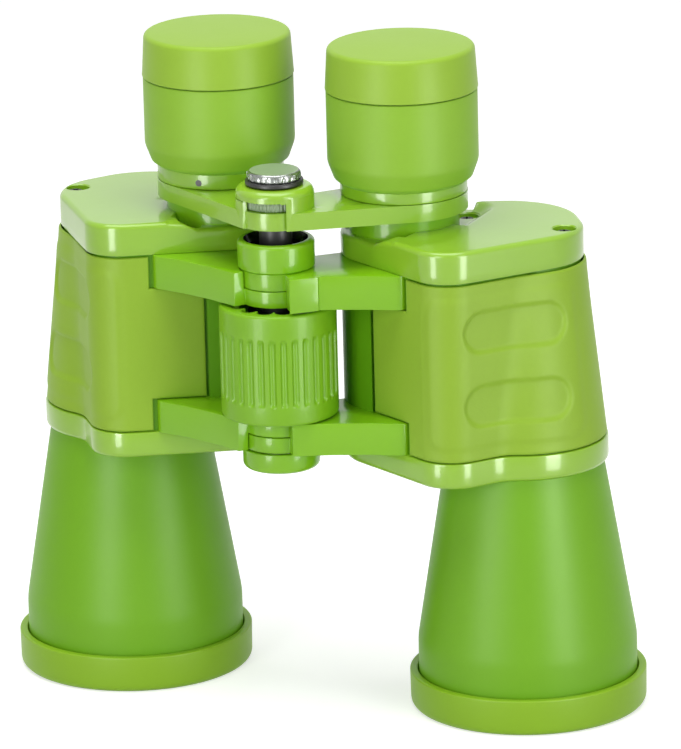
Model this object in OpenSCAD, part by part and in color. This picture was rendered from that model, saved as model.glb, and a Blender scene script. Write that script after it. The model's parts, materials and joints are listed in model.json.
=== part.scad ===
// Porro-prism binoculars, 50 mm objectives, standing on the objective caps.
// The right half is described once. The left half is its mirror image in the plane
// X = 0, and only the hinge knuckles and the bridge hub differ between the sides.
// Plan positions are measured from the hinge axis, which stands parallel to Z.

/* [Optical axes] */
// Half of the distance between the eyepiece axes
eye_x = 27; // [26:0.5:29]
// Distance of the eyepiece axes behind the hinge axis
eye_y = 25.8; // [25:0.2:27]
// Half of the distance between the objective axes
obj_x = 59; // [58:0.5:61]
// Distance of the objective axes behind the hinge axis
obj_y = 30.1; // [29:0.2:31]

/* [Objective caps] */
// Wall of an objective cap
cap_wall = 2.2; // [1.8:0.1:3]
// Height of an objective cap
cap_h = 10.2; // [8:0.2:14]
// Thickness of a cap's floor
cap_floor = 2; // [1.5:0.1:3]
// Radius of the rounded edge of an objective cap
cap_edge = 2.2; // [1:0.1:3]

/* [Barrels] */
// Thickness of a barrel's rim around its objective lens
barrel_rim = 4; // [3.5:0.1:4.2]
// Outer radius of a barrel where it meets the nose plate
barrel_top_r = 21.7; // [20.5:0.1:22.2]
// Length of a barrel between the cap and the nose plate
barrel_len = 67.2; // [60:0.5:80]
// Length of the straight end of a barrel
barrel_straight = 17; // [12:0.5:25]
// Wall of a barrel
barrel_wall = 2; // [1.5:0.1:2.4]
// Radius of the spigot that holds a barrel in its nose plate
spigot_r = 18.2; // [17:0.1:18.6]
// Depth of the hood in front of an objective lens
hood_depth = 6.8; // [5:0.2:9]

/* [Lenses and prisms] */
// Radius of an objective lens
lens_r = 26; // [25.5:0.1:26.5]
// Edge thickness of an objective lens
lens_edge = 6; // [5:0.5:8]
// Radius of the curved faces of an objective lens
lens_curve = 150; // [120:5:200]
// Radius of an eye lens
eye_lens_r = 11; // [10:0.2:11.2]
// Width of a prism
prism_w = 20; // [18:0.5:20]
// Length of a prism's long face
prism_len = 39.8; // [38:0.2:40]
// Room between a prism's roof edge and the end of the housing
prism_room = 2.15; // [2:0.05:2.6]

/* [Prism housing] */
// Height of a prism housing between the nose plate and the top cover
housing_h = 50.1; // [49.5:0.1:56]
// Wall of a prism housing
housing_wall = 1.8; // [1.6:0.1:2]
// Radius of the housing around the eyepiece axis
inner_r = 17.5; // [17.4:0.1:18.2]
// Centre of the front corner, across
front_x = 48; // [47:0.5:49]
// Centre of the front corner, behind the hinge axis
front_y = 5.3; // [4.5:0.1:6]
// Radius of the front corner
front_r = 10.5; // [10:0.1:11]
// Centre of the rear corner, across
rear_x = 48.5; // [47:0.5:50]
// Centre of the rear corner, behind the hinge axis
rear_y = 38.5; // [37:0.5:40]
// Radius of the rear corner
rear_r = 12.5; // [12:0.1:13]
// Radius of the grip skin around the objective axis, at its top
shoulder_r = 17.6; // [17.5:0.1:18.4]
// Radius of the grip skin around the objective axis, at its foot
skirt_r = 23; // [22:0.1:24]
// Thickness of the prism shelf
shelf_t = 3; // [2.5:0.1:3.5]

/* [Grip skin] */
// Thickness of the rubber skin
skin_t = 1.4; // [1.2:0.1:1.6]
// Place of the skin's seam, measured across from the hinge axis
seam_x = 24.4; // [22:0.2:25]
// Depth of a finger recess
recess_d = 0.8; // [0.4:0.1:0.9]
// Height of a finger recess
recess_h = 12; // [10:0.5:13]
// Length of a finger recess
recess_len = 31; // [24:0.5:33]
// Distance between the two finger recesses
recess_pitch = 20.6; // [18:0.2:22]

/* [Covers] */
// Height of a nose plate
nose_h = 7.1; // [6.5:0.1:9]
// Height of a top cover, at its raised part
cover_h = 8.8; // [8.2:0.1:10]
// Height by which the top cover drops beside the eyepiece
cover_step = 2.3; // [1.5:0.1:2.6]
// Radius of the rounded edges of the covers
cover_edge = 1.4; // [0.8:0.1:1.6]
// Radius of a screw head in the covers
screw_head_r = 2; // [1.6:0.1:2.4]
// Radius of a cover screw's shank
screw_r = 1; // [0.9:0.1:1.2]
// Length of a cover screw below its head
screw_len = 10; // [8:0.5:12]
// Depth to which a guide tube is seated in its top cover
guide_seat = 3.7; // [3:0.1:4]

/* [Hinge] */
// Outer radius of the hinge knuckles
knuckle_r = 9.9; // [9.6:0.1:10.2]
// Outer radius of the open tube above the upper knuckles
tube_r = 10.5; // [10.4:0.1:11]
// Bore radius of the open tube
tube_bore_r = 7.7; // [7.4:0.1:8.2]
// Height of the open tube above the hinge arms
tube_h = 8; // [6:0.2:8.4]
// Height of an upper hinge arm
upper_arm_h = 9.3; // [8.8:0.1:11]
// Height of a lower hinge arm
lower_arm_h = 8.9; // [8.6:0.1:11]
// Outer radius of the hollow axle and of the hinge pin
axle_r = 6; // [5.8:0.1:6.4]
// Radius of the tripod thread, a 1/4 inch screw
thread_r = 3.2; // [3.175:0.025:3.3]
// Depth of the tripod thread
thread_depth = 9; // [7:0.5:11]
// Length by which the axle stands out of the upper knuckles
axle_out = 3.6; // [3:0.2:5]
// Height of the tripod cap
tripod_cap_h = 5.6; // [4.5:0.1:7]

/* [Focusing] */
// Outer radius of the focus wheel
wheel_r = 15.95; // [15.5:0.05:16.5]
// Length of the flutes on the focus wheel
flute_len = 18.6; // [14:0.2:20]
// Number of flutes around the focus wheel
flute_count = 32; // [24:1:40]
// Radius of the focus shaft
shaft_r = 4.5; // [4.2:0.1:4.6]
// Thickness of a bridge arm
bridge_t = 4.8; // [4.4:0.1:5.2]
// Height of the bridge arms above the top covers
bridge_lift = 3.3; // [3:0.1:4]
// Radius of the bridge hub
hub_r = 10.6; // [10.5:0.1:11.2]
// Height of the hub's top ring
hub_top_h = 3; // [2.5:0.1:4]
// Height of the window in the hub
window_h = 3; // [2.5:0.1:4]
// Radius of the scale dial
dial_r = 7.3; // [6.8:0.1:7.6]
// Height of the scale dial
dial_h = 2.5; // [2:0.1:3.5]
// Height of the black ring under the dial
dial_base_h = 1.2; // [1:0.1:1.6]

/* [Eyepieces] */
// Outer radius of the guide tube that an eyepiece slides on
guide_r = 15; // [14.8:0.1:15.2]
// Outer radius of a lens cell
cell_r = 13.1; // [12.9:0.1:13.2]
// Outer radius of the collar under an eyecup
collar_r = 16.9; // [16.7:0.1:17.3]
// Height of that collar
collar_h = 4.3; // [4:0.1:5]
// Outer radius of an eyecup
eyecup_r = 20.55; // [20.2:0.05:20.8]
// Height of an eyecup below the ocular cap
eyecup_h = 23.8; // [20:0.2:26]
// Outer radius of the eyecup's neck, which the ocular cap fits over
neck_r = 18.7; // [18.2:0.1:18.9]
// Height of the eyecup's neck
neck_h = 7; // [5:0.2:9]
// Height of an ocular cap
ocular_cap_h = 11.8; // [10:0.2:14]
// Outer radius of an ocular cap at its rim
ocular_cap_r = 20.8; // [20.6:0.05:21.4]

// Travel of the right lens cell from its middle setting, each way
diopter_travel = 1.5; // [1:0.1:2]

/* [Fits] */
// Gap between pieces that move past each other
gap = 0.3; // [0.25:0.05:0.4]
// Radial clearance of a running fit
run = 0.05; // [0.03:0.01:0.08]
// Radial clearance between pieces that are fixed together
seat = 0.02; // [0.01:0.01:0.04]

/* [Hidden] */
$fn = 96;
// Degrees between the points of an arc
ARC_STEP = 6;
PAINT = "yellowgreen";
SKIN = "olivedrab";
BARREL = "limegreen";
STEEL = "silver";
CHROME = "gainsboro";
BRASS = "goldenrod";
BLACK = "#202020";
GLASS = "lightcyan";

// The prisms fill the housing's height on both sides of the shelf
prism_h = (housing_h - shelf_t) / 2 - prism_room;
prism_nip = max(0.5, prism_h - prism_len / 2);
shelf_z = prism_h + prism_room;

// Levels, from the ground up
barrel_z = cap_floor + gap;
hood_z = barrel_z + hood_depth;
lens_z = hood_z + 1.6;
nose_z = barrel_z + barrel_len;
base_z = nose_z + nose_h;
shelf_under = base_z + shelf_z;
shelf_top = shelf_under + shelf_t;
lower_arm_top = base_z + lower_arm_h;
pin_head_z = base_z - gap - 1.8;
lower_split = base_z + lower_arm_h / 2;
wheel_z = lower_arm_top + gap;
top_z = base_z + housing_h;
upper_arm_z = top_z - upper_arm_h;
upper_split = top_z - upper_arm_h / 2;
wheel_top = upper_arm_z - gap;
tube_top = top_z + tube_h;
cover_top = top_z + cover_h;
cover_low = cover_top - cover_step;
bridge_z = cover_top + bridge_lift;
bridge_top = bridge_z + bridge_t;
guide_z = cover_low - guide_seat;
guide_top = bridge_top + 1.2;
hub_z = bridge_top + window_h;
hub_top = hub_z + hub_top_h;
dial_z = hub_top + gap + dial_base_h;
collar_z = bridge_top + gap;
cup_z = collar_z + collar_h;
cup_top = cup_z + eyecup_h;
sleeve_top = cup_top - 4;
cell_z = guide_z + 1.5;
cell_top = sleeve_top - diopter_travel - gap;
neck_top = cup_top + neck_h;
ocular_top = cup_top + gap + ocular_cap_h;

// Radii that follow from the fits
barrel_r = lens_r + barrel_rim;
cap_r = barrel_r + gap + cap_wall;
mid_ring_r = hub_r - 1.1;
leg_r = mid_ring_r + gap;
nut_r = shaft_r + 3.5;
pin_head_r = knuckle_r - 1.2;
sleeve_r = collar_r - 0.9;
ring_r = collar_r + 0.5;
shell_in = skin_t + housing_wall;
web_bore_r = prism_w / 2 - 1;

// The eyepiece and objective axes, and the axis on which the folded light path turns back
EYE = [eye_x, eye_y];
OBJ = [obj_x, obj_y];
FOLD = (EYE + OBJ) / 2 + [OBJ[1] - EYE[1], EYE[0] - OBJ[0]] / 2;
FRONT = [front_x, front_y, front_r];
// Cover screws: outer, rear and front
SCREWS = [OBJ + [13, -0.6], [39.1, 41.5], [29.4, 8.8]];

// ---- Plan outlines ---------------------------------------------------------------

function unit(a) = [cos(a), sin(a)];
function heading(v) = atan2(v[1], v[0]);
function arc(c, r, a0, a1) =
    let (n = max(2, ceil(abs(a1 - a0) / ARC_STEP)))
    [for (i = [0:n]) c + r * unit(a0 + (a1 - a0) * i / n)];
// Bearing, from both centres, of the line that touches two circles on the right
function touch(p, q) =
    let (d = [q[0] - p[0], q[1] - p[1]])
    heading(d) - acos((p[2] - q[2]) / norm(d));
// The belt round circles [x, y, r] that are listed counter-clockwise
function belt(cs, grow = 0) = [for (i = [0:len(cs) - 1])
    let (p = cs[i], n = len(cs), a0 = touch(cs[(i + n - 1) % n], p), a1 = touch(p, cs[(i + 1) % n]))
    each arc([p[0], p[1]], p[2] + grow, a0, a1 < a0 ? a1 + 360 : a1)];
// The circles that a half's casing is drawn round, with radius r about the objective axis
function casing(r) = [[eye_x, eye_y, inner_r], FRONT, [obj_x, obj_y, r], [rear_x, rear_y, rear_r]];

// ---- Helpers ---------------------------------------------------------------------

// From the hinge axis to the part's own origin, in the middle of its footprint: the
// wheel is its foremost point and the objective caps are its rearmost
hinge_y = (wheel_r - obj_y - cap_r) / 2;
module placed(side = 1) translate([0, hinge_y, 0]) mirror([side < 0 ? 1 : 0, 0, 0]) children();
module slab(points, z, h) translate([0, 0, z]) linear_extrude(h) polygon(points);
module rod(c, r, z, h) translate([c[0], c[1], z]) cylinder(r = r, h = h);
module ring(c, r, bore, z, h) difference() {
    rod(c, r, z, h);
    rod(c, bore, z - 1, h + 2);
}
module turned(c, points) translate([c[0], c[1], 0]) rotate_extrude() polygon(points);
// A slab whose upper edge is rounded
module domed(cs, z, h, r) hull() {
    slab(belt(cs), z, h - r);
    for (a = [30, 60, 90])
        slab(belt(cs, r * (cos(a) - 1)), z + h - r, r * sin(a));
}
// The casing of one half: straight walls, and a cone about the objective axis
module casing_solid(z, h, grow = 0) {
    slope = (skirt_r - shoulder_r) / housing_h;
    low = skirt_r - slope * (z - base_z) + grow;
    slab(belt(casing(shoulder_r - 1), grow), z, h);
    translate([obj_x, obj_y, z]) cylinder(r1 = low, r2 = low - slope * h, h = h);
}
module inboard(x) translate([x - 100, -100, 0]) cube([100, 300, 200]);

// ---- Housing and covers ----------------------------------------------------------

// Outside of the casting: bare and proud beside the hinge, sunk under the grip skin
module casting(z, h) {
    slab(belt(casing(shoulder_r - 1), -skin_t), z, h);
    intersection() {
        slab(belt(casing(shoulder_r - 1)), z, h);
        inboard(seam_x - gap);
    }
}
// A boss with a rib that ties it to the nearest wall
module screw_boss(c) {
    rod(c, screw_head_r + 1, top_z - screw_len, screw_len + 1);
    translate([c[0], c[1], top_z - screw_len]) rotate([0, 0, heading(c - [rear_x, eye_y])])
        translate([0, -1.5, 0]) cube([6, 3, screw_len + 1]);
}
module housing() color(PAINT) difference() {
    union() {
        casting(base_z, housing_h);
        casing_solid(base_z, housing_h, -skin_t);
    }
    casing_solid(base_z - 1, shelf_z + 1, -shell_in);
    difference() {
        casing_solid(shelf_top, top_z - shelf_top + 1, -shell_in);
        for (c = SCREWS) screw_boss(c);
    }
    for (c = [EYE, OBJ, FOLD]) rod(c, web_bore_r, base_z, housing_h);
    for (c = SCREWS) rod(c, screw_r + seat, top_z - screw_len + 1, screw_len);
}

module finger_recesses() {
    a = touch(FRONT, [obj_x, obj_y, shoulder_r - 1]);
    start = [front_x, front_y] + front_r * unit(a);
    middle = start + (recess_len / 2 - 2) * unit(a + 90);
    for (k = [-0.5, 0.5])
        translate([middle[0], middle[1], base_z + housing_h / 2 + 0.5 + k * recess_pitch])
            rotate([90, 0, a + 90]) translate([0, 0, -5]) linear_extrude(25) {
                square([recess_len - recess_h, recess_h], center = true);
                for (s = [-1, 1]) translate([s * (recess_len - recess_h) / 2, 0]) circle(recess_h / 2);
            }
}
module grip_skin() color(SKIN) difference() {
    union() {
        difference() {
            casing_solid(base_z + gap, housing_h - 2 * gap);
            finger_recesses();
        }
        casing_solid(base_z + gap, housing_h - 2 * gap, -recess_d);
    }
    casing_solid(base_z, housing_h, -skin_t + seat);
    inboard(seam_x);
    for (z = [base_z, upper_arm_z]) arm_slab(z - gap, max(lower_arm_h, upper_arm_h) + 2 * gap, gap);
}

// Everything that the raised part of the top cover may fill: outboard of a slope
module plateau() {
    foot = [33, 6];
    translate([foot[0], foot[1], cover_low])
        rotate([0, 0, heading([8, 40])]) rotate([30, 0, 0])
            translate([-60, -80, 0]) cube([160, 80, 40]);
}
module top_cover() color(PAINT) difference() {
    union() {
        domed(casing(shoulder_r - 0.5), top_z, cover_low - top_z, cover_edge);
        intersection() {
            domed(casing(shoulder_r - 0.5), top_z, cover_h, cover_edge);
            plateau();
        }
    }
    difference() {
        slab(belt(casing(shoulder_r - 0.5), -3.2), top_z - 1, cover_low - top_z - 1);
        rod(EYE, ring_r, top_z - 2, cover_h);
        for (c = SCREWS) rod(c, screw_head_r + 1.2, top_z - 2, cover_h);
    }
    rod(EYE, cell_r + gap, top_z - 1, cover_h + 2);
    rod(EYE, guide_r + seat, guide_z, cover_h);
    for (c = SCREWS) {
        rod(c, screw_r + seat, top_z - 1, cover_h);
        rod(c, screw_head_r + 1.2, cover_low - (c == SCREWS[0] ? 0 : 1.2), cover_h);
    }
}
module cover_screws() color(STEEL) for (c = SCREWS) {
    z = cover_low - (c == SCREWS[0] ? 0 : 1.2);
    difference() {
        union() {
            rod(c, screw_head_r, z, 1.1);
            rod(c, screw_r, z - screw_len, screw_len);
        }
        for (a = [0, 90]) translate([c[0], c[1], z + 1]) rotate([0, 0, a + 20])
            cube([screw_head_r * 1.3, 0.5, 0.8], center = true);
    }
}
module nose_plate() color(PAINT) difference() {
    union() {
        translate([0, 0, nose_z + base_z]) mirror([0, 0, 1])
            domed(casing(shoulder_r - 1), nose_z, nose_h, cover_edge);
        turned(OBJ, concat([[0, base_z], [0, nose_z]],
            arc([skirt_r - cover_edge, nose_z + cover_edge], cover_edge, -90, 0), [[skirt_r, base_z]]));
    }
    difference() {
        casing_solid(base_z - nose_h + 2.4, nose_h, -shell_in - 1);
        rod(OBJ, spigot_r + barrel_wall, nose_z, nose_h - 1.5);
    }
    rod(OBJ, spigot_r + seat, nose_z - 1, nose_h + 2);
}

// ---- Barrel and objective --------------------------------------------------------

module barrel() color(BARREL) {
    seat_z = lens_z + lens_edge + gap;
    straight = barrel_z + barrel_straight;
    turned(OBJ, [
        [lens_r + 2, barrel_z], [barrel_r - 0.5, barrel_z], [barrel_r, barrel_z + 0.5],
        [barrel_r, straight], [barrel_top_r, nose_z], [spigot_r, nose_z], [spigot_r, nose_z + nose_h - 2],
        [spigot_r - barrel_wall, nose_z + nose_h - 2], [spigot_r - barrel_wall, nose_z - 4],
        [barrel_r - barrel_wall, straight], [lens_r - 1.4, straight], [lens_r - 1.4, seat_z],
        [lens_r + seat, seat_z], [lens_r + seat, hood_z]]);
}
// A lens between two curved faces, with its flat edge standing on z
module lens(c, r, z, edge, curve) {
    drop = sqrt(curve * curve - r * r);
    intersection() {
        rod(c, r, z - 10, edge + 20);
        translate([c[0], c[1], z + drop]) sphere(curve, $fn = 360);
        translate([c[0], c[1], z + edge - drop]) sphere(curve, $fn = 360);
    }
}
module objective_lens() color(GLASS) lens(OBJ, lens_r, lens_z, lens_edge, lens_curve);
module objective_ring() color(BLACK) ring(OBJ, lens_r, lens_r - 1.4, hood_z, lens_z - gap - hood_z);
module objective_cap() color(SKIN) turned(OBJ, concat([[0, 0]],
    arc([cap_r - cap_edge, cap_edge], cap_edge, -90, 0),
    arc([cap_r - 0.5, cap_h - 0.5], 0.5, 0, 90),
    [[barrel_r + gap, cap_h], [barrel_r + gap, cap_floor], [0, cap_floor]]));

// ---- Prisms ----------------------------------------------------------------------

// Carries a prism's own frame to its place: long face on z, roof away from the web
module prism_place(from, to, z, way) {
    c = (from + to) / 2;
    translate([c[0], c[1], z]) mirror([0, 0, way < 0 ? 1 : 0]) rotate([90, 0, heading(to - from)])
        children();
}
module prism_solid() translate([0, 0, -prism_w / 2]) linear_extrude(prism_w) polygon([
    [-prism_h + prism_nip, 0], [prism_h - prism_nip, 0], [prism_h - prism_nip, prism_nip],
    [0, prism_h], [-prism_h + prism_nip, prism_nip]]);
// A spring strap bridges a prism's roof and stands on the web on both sides
module strap_solid() rotate([0, 90, 0]) translate([0, 0, -3]) linear_extrude(6) difference() {
    translate([-prism_w / 2 - 0.7, 0]) square([prism_w + 1.4, prism_h + 0.6]);
    translate([-prism_w / 2 - 0.1, -1]) square([prism_w + 0.2, prism_h + 1]);
}
module upper_prism() color(GLASS) prism_place(OBJ, FOLD, shelf_top, 1) prism_solid();
module lower_prism() color(GLASS) prism_place(FOLD, EYE, shelf_under, -1) prism_solid();
module prism_straps() color(STEEL) {
    prism_place(OBJ, FOLD, shelf_top, 1) strap_solid();
    prism_place(FOLD, EYE, shelf_under, -1) strap_solid();
}

// ---- Hinge -----------------------------------------------------------------------

// Plan of a hinge arm: its hollow face runs from beside the column to the housing's front
module arm_slab(z, h, grow = 0) {
    a = touch([eye_x, eye_y, inner_r], FRONT);
    outer = [front_x, front_y] + front_r * unit(a) - (6.8 - grow) * unit(a + 90);
    inner = [8 - grow, -10.5];
    span = outer - inner;
    hollow_r = 100;
    half_turn = asin(norm(span) / 2 / hollow_r);
    side = heading(span) + 90;
    bow = (inner + outer) / 2 - hollow_r * cos(half_turn) * unit(side);
    face = arc(bow, hollow_r, side + half_turn, side - half_turn);
    along = heading(EYE);
    rear = [for (s = [24, 8]) s * unit(along) + 5 * unit(along + 90)];
    slab(concat(face, [outer + [2, 8], rear[0], rear[1], [0, 0]]), z, h);
}
// An arm with its knuckle, which spans own_h from own_z; beside the other half's knuckle
// the arm ends in a hollow
module hinge_arm(z, h, own_z, own_h) difference() {
    union() {
        difference() {
            arm_slab(z, h);
            rod([0, 0], knuckle_r + gap, z - 1, h + 2);
        }
        arm_slab(own_z, own_h);
        rod([0, 0], knuckle_r, own_z, own_h);
    }
    casting(z - 1, h + 2);
}
module left_upper_arm() color(PAINT) difference() {
    hinge_arm(upper_arm_z, upper_arm_h, upper_arm_z, upper_split - gap / 2 - upper_arm_z);
    rod([0, 0], axle_r + seat, upper_arm_z - 1, upper_arm_h);
}
module right_upper_arm() color(PAINT) difference() {
    union() {
        hinge_arm(upper_arm_z, upper_arm_h, upper_split + gap / 2, top_z - upper_split - gap / 2);
        turned([0, 0], concat(
            [[0, top_z - 0.3], [knuckle_r - 0.6, top_z - 0.3], [tube_r, top_z + 0.6]],
            arc([tube_r - 1.2, tube_top - 1.2], 1.2, 0, 90), [[0, tube_top]]));
    }
    rod([0, 0], axle_r + run, upper_arm_z - 1, upper_arm_h + 3);
    rod([0, 0], tube_bore_r, top_z + 1, tube_h);
}
module left_lower_arm() color(PAINT) difference() {
    hinge_arm(base_z, lower_arm_h, lower_split + gap / 2, lower_arm_top - lower_split - gap / 2);
    rod([0, 0], axle_r + seat, base_z - 1, lower_arm_h + 2);
}
module right_lower_arm() color(PAINT) difference() {
    hinge_arm(base_z, lower_arm_h, base_z, lower_split - gap / 2 - base_z);
    rod([0, 0], axle_r + run, base_z - 1, lower_arm_h + 2);
}
module hinge_axle() color(STEEL) ring([0, 0], axle_r, shaft_r + gap, upper_arm_z, upper_arm_h + axle_out);
module axle_nut() color(BLACK)
    ring([0, 0], tube_bore_r - gap, axle_r + seat, top_z + 1 + gap, axle_out - 1 - gap);
module hinge_pin() color(STEEL) difference() {
    union() {
        rod([0, 0], axle_r, pin_head_z, lower_arm_top - pin_head_z);
        rod([0, 0], pin_head_r, pin_head_z, 1.8);
    }
    rod([0, 0], thread_r, pin_head_z - 1, thread_depth + 1);
}
// A cup that screws over the head of the hinge pin and covers the tripod thread
module tripod_cap() color(PAINT) {
    z = base_z - gap - tripod_cap_h;
    bore = pin_head_r + run;
    turned([0, 0], concat([[0, z]], arc([tube_r - 1.6, z + 1.6], 1.6, -90, 0),
        [[tube_r, base_z - gap], [bore, base_z - gap], [bore, pin_head_z - gap], [0, pin_head_z - gap]]));
}

// ---- Focusing --------------------------------------------------------------------

module focus_wheel() color(BARREL) {
    h = wheel_top - wheel_z;
    flute_z = wheel_z + (h - flute_len) / 2;
    difference() {
        turned([0, 0], [
            [nut_r + seat, wheel_z + 3], [knuckle_r, wheel_z + 3], [knuckle_r, wheel_z],
            [wheel_r - 0.8, wheel_z], [wheel_r, wheel_z + 0.8],
            [wheel_r, wheel_top - 0.8], [wheel_r - 0.8, wheel_top],
            [knuckle_r + 0.6, wheel_top], [knuckle_r + 0.6, wheel_top - 2.4],
            [nut_r + seat, wheel_top - 2.4]]);
        for (i = [0:flute_count - 1])
            rod((wheel_r + 0.35) * unit((i + 0.5) * 360 / flute_count), 0.95, flute_z, flute_len, $fn = 24);
        for (i = [0:15])
            rod((knuckle_r + 0.9) * unit(i * 22.5), 1.3, wheel_top - 2.4, 4, $fn = 24);
    }
}
module focus_nut() color(BRASS)
    ring([0, 0], nut_r, shaft_r + run, wheel_z + 3, wheel_top - wheel_z - 5.4);
module focus_shaft() color(BLACK) rod([0, 0], shaft_r, wheel_z + 3, dial_z - wheel_z - 3);

// Plan of a bridge arm: in front it runs along the hub and the eyepiece ring, just inside
// both, and it is waisted behind, so that the two arms clear each other when the halves fold
module bridge_slab(z, h) {
    inset = 0.2;
    hub = [0, 0, hub_r - inset];
    eye = [eye_x, eye_y, ring_r - inset];
    front = touch(hub, eye);
    near_r = hub_r - 4.6;
    far_r = ring_r - 7.4;
    back = heading(EYE) + acos((near_r - far_r) / norm(EYE));
    slab([hub[2] * unit(front), EYE + eye[2] * unit(front), EYE + far_r * unit(back),
        near_r * unit(back)], z, h);
}
module bridge_arm_half() difference() {
    union() {
        bridge_slab(bridge_z, bridge_t);
        rod(EYE, ring_r, bridge_z, bridge_t);
        children();
    }
    rod(EYE, guide_r + gap, bridge_z - 1, bridge_t + 2);
}
// The part of a bridge arm that stands up beside the hub, to level top
module hub_leg(top) intersection() {
    bridge_slab(bridge_z, top - bridge_z);
    rod([0, 0], hub_r + 3, bridge_z - 1, top);
}
module left_bridge_arm() color(PAINT) difference() {
    bridge_arm_half() {
        rod([0, 0], mid_ring_r, bridge_z, bridge_t);
        difference() {
            hub_leg(hub_z - gap);
            rod([0, 0], mid_ring_r - 0.5, bridge_top, hub_top);
        }
    }
    rod([0, 0], shaft_r + seat, bridge_z - 1, hub_top);
}
module right_bridge_arm() color(PAINT) difference() {
    union() {
        difference() {
            bridge_arm_half() hub_leg(hub_top - 1);
            rod([0, 0], leg_r, bridge_z - 1, hub_z - bridge_z + 1.5);
        }
        turned([0, 0], concat([[0, hub_z], [hub_r, hub_z]],
            arc([hub_r - 1.2, hub_top - 1.2], 1.2, 0, 90), [[0, hub_top]]));
    }
    rod([0, 0], shaft_r + run, bridge_z - 1, hub_top);
}
module hub_spacer() color(STEEL)
    ring([0, 0], mid_ring_r - 0.8, shaft_r + seat, bridge_top, window_h - gap);
module dial_base() color(BLACK) ring([0, 0], dial_r + 0.6, shaft_r + seat, hub_top + gap, dial_base_h);
module scale_dial() color(CHROME) turned([0, 0], concat(
    [[0, dial_z], [dial_r - 0.4, dial_z], [dial_r, dial_z + 0.4]],
    arc([dial_r - 0.8, dial_z + dial_h - 0.8], 0.8, 0, 90), [[0, dial_z + dial_h]]));

// ---- Eyepieces -------------------------------------------------------------------

module guide_tube() color(PAINT) ring(EYE, guide_r, cell_r + run, guide_z, guide_top - guide_z);
// The collar and the sleeve that an eyecup is pushed over
module eyepiece_sleeve() color(PAINT) turned(EYE, [
    [guide_r + gap, collar_z], [collar_r, collar_z], [collar_r, cup_z], [sleeve_r, cup_z],
    [sleeve_r, sleeve_top], [cell_r + gap, sleeve_top], [cell_r + gap, cup_z - 0.8],
    [guide_r + gap, cup_z - 0.8]]);
module left_eyepiece_sleeve() difference() {
    eyepiece_sleeve();
    collar_screw_shape(0.9 + seat);
}
module collar_screw_shape(r) translate([EYE[0], EYE[1], collar_z + 1.6]) rotate([0, 0, -93])
    rotate([0, 90, 0]) translate([0, 0, guide_r + 0.4]) cylinder(r = r, h = collar_r - guide_r);
module lens_cell() color(BLACK) turned(EYE, [
    [eye_lens_r + seat, cell_z], [cell_r, cell_z], [cell_r, cell_top],
    [eye_lens_r + seat, cell_top], [eye_lens_r + seat, cell_top - 5 - gap],
    [eye_lens_r - 0.8, cell_top - 5 - gap], [eye_lens_r - 0.8, cell_top - 6.5],
    [eye_lens_r + 0.4, cell_top - 6.5], [eye_lens_r + 0.4, cell_z + 7.5],
    [eye_lens_r - 0.8, cell_z + 7.5], [eye_lens_r - 0.8, cell_z + 6 + gap],
    [eye_lens_r + seat, cell_z + 6 + gap]]);
module eye_lenses() color(GLASS) {
    lens(EYE, eye_lens_r, cell_top - 5, 3, 45);
    lens(EYE, eye_lens_r, cell_z + 2.5, 3.5, 60);
}
module eyecup() color(SKIN) turned(EYE, concat([
    [sleeve_r + seat, cup_z], [collar_r + 0.4, cup_z], [eyecup_r - 1.4, cup_z + 1], [eyecup_r, cup_z + 5.4],
    [eyecup_r, cup_top], [neck_r, cup_top]],
    arc([neck_r - 1, neck_top - 1], 1, 0, 90),
    [[neck_r - 2.4, neck_top], [neck_r - 2.4, sleeve_top + 1.8], [eye_lens_r + 0.6, sleeve_top + 1.8],
     [eye_lens_r + 0.6, sleeve_top], [sleeve_r + seat, sleeve_top]]));
module ocular_cap() color(SKIN) turned(EYE, concat([
    [neck_r + gap, cup_top + gap], [ocular_cap_r, cup_top + gap]],
    arc([ocular_cap_r - 2.2, ocular_top - 1.4], 1.4, 0, 90),
    [[0, ocular_top], [0, ocular_top - 2], [neck_r + gap, ocular_top - 2]]));

// ---- Sub-parts -------------------------------------------------------------------

// Both halves hold these, as mirror images
for (half = [["left", -1], ["right", 1]]) {
    placed(half[1]) housing();
    placed(half[1]) grip_skin();
    placed(half[1]) top_cover();
    placed(half[1]) cover_screws();
    placed(half[1]) nose_plate();
    placed(half[1]) barrel();
    placed(half[1]) objective_lens();
    placed(half[1]) objective_ring();
    placed(half[1]) objective_cap();
    placed(half[1]) upper_prism();
    placed(half[1]) lower_prism();
    placed(half[1]) prism_straps();
    placed(half[1]) guide_tube();
    placed(half[1]) lens_cell();
    placed(half[1]) eye_lenses();
    placed(half[1]) eyecup();
    placed(half[1]) ocular_cap();
}

// The hinge arms and bridge arms interlock, so they differ from side to side
placed(-1) left_upper_arm();
placed() right_upper_arm();
placed(-1) left_lower_arm();
placed() right_lower_arm();
placed(-1) left_bridge_arm();
placed() right_bridge_arm();

// The eyepiece collars: fixed on the left, turning on the right
placed(-1) left_eyepiece_sleeve();
placed(-1) collar_screw_shape(0.9);  // left_collar_screw
placed() eyepiece_sleeve();  // diopter_ring

// On the hinge axis
placed() hinge_axle();
placed() axle_nut();
placed() hinge_pin();
placed() tripod_cap();
placed() focus_wheel();
placed() focus_nut();
placed() focus_shaft();
placed() hub_spacer();
placed() dial_base();
placed() scale_dial();
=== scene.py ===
"""Dresses the binoculars: detailed pieces, finishes, studio and camera.

Lengths are millimetres in the plan of the right half, measured from the hinge axis and up
from the ground. The left half is the mirror image. A mesh becomes metres when it is made.
"""

import json
import logging
import math
from dataclasses import dataclass, field
from enum import Enum
from typing import Callable, Dict, List, Sequence, Tuple, Union

import bmesh
import bpy
from mathutils import Matrix, Vector


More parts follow.
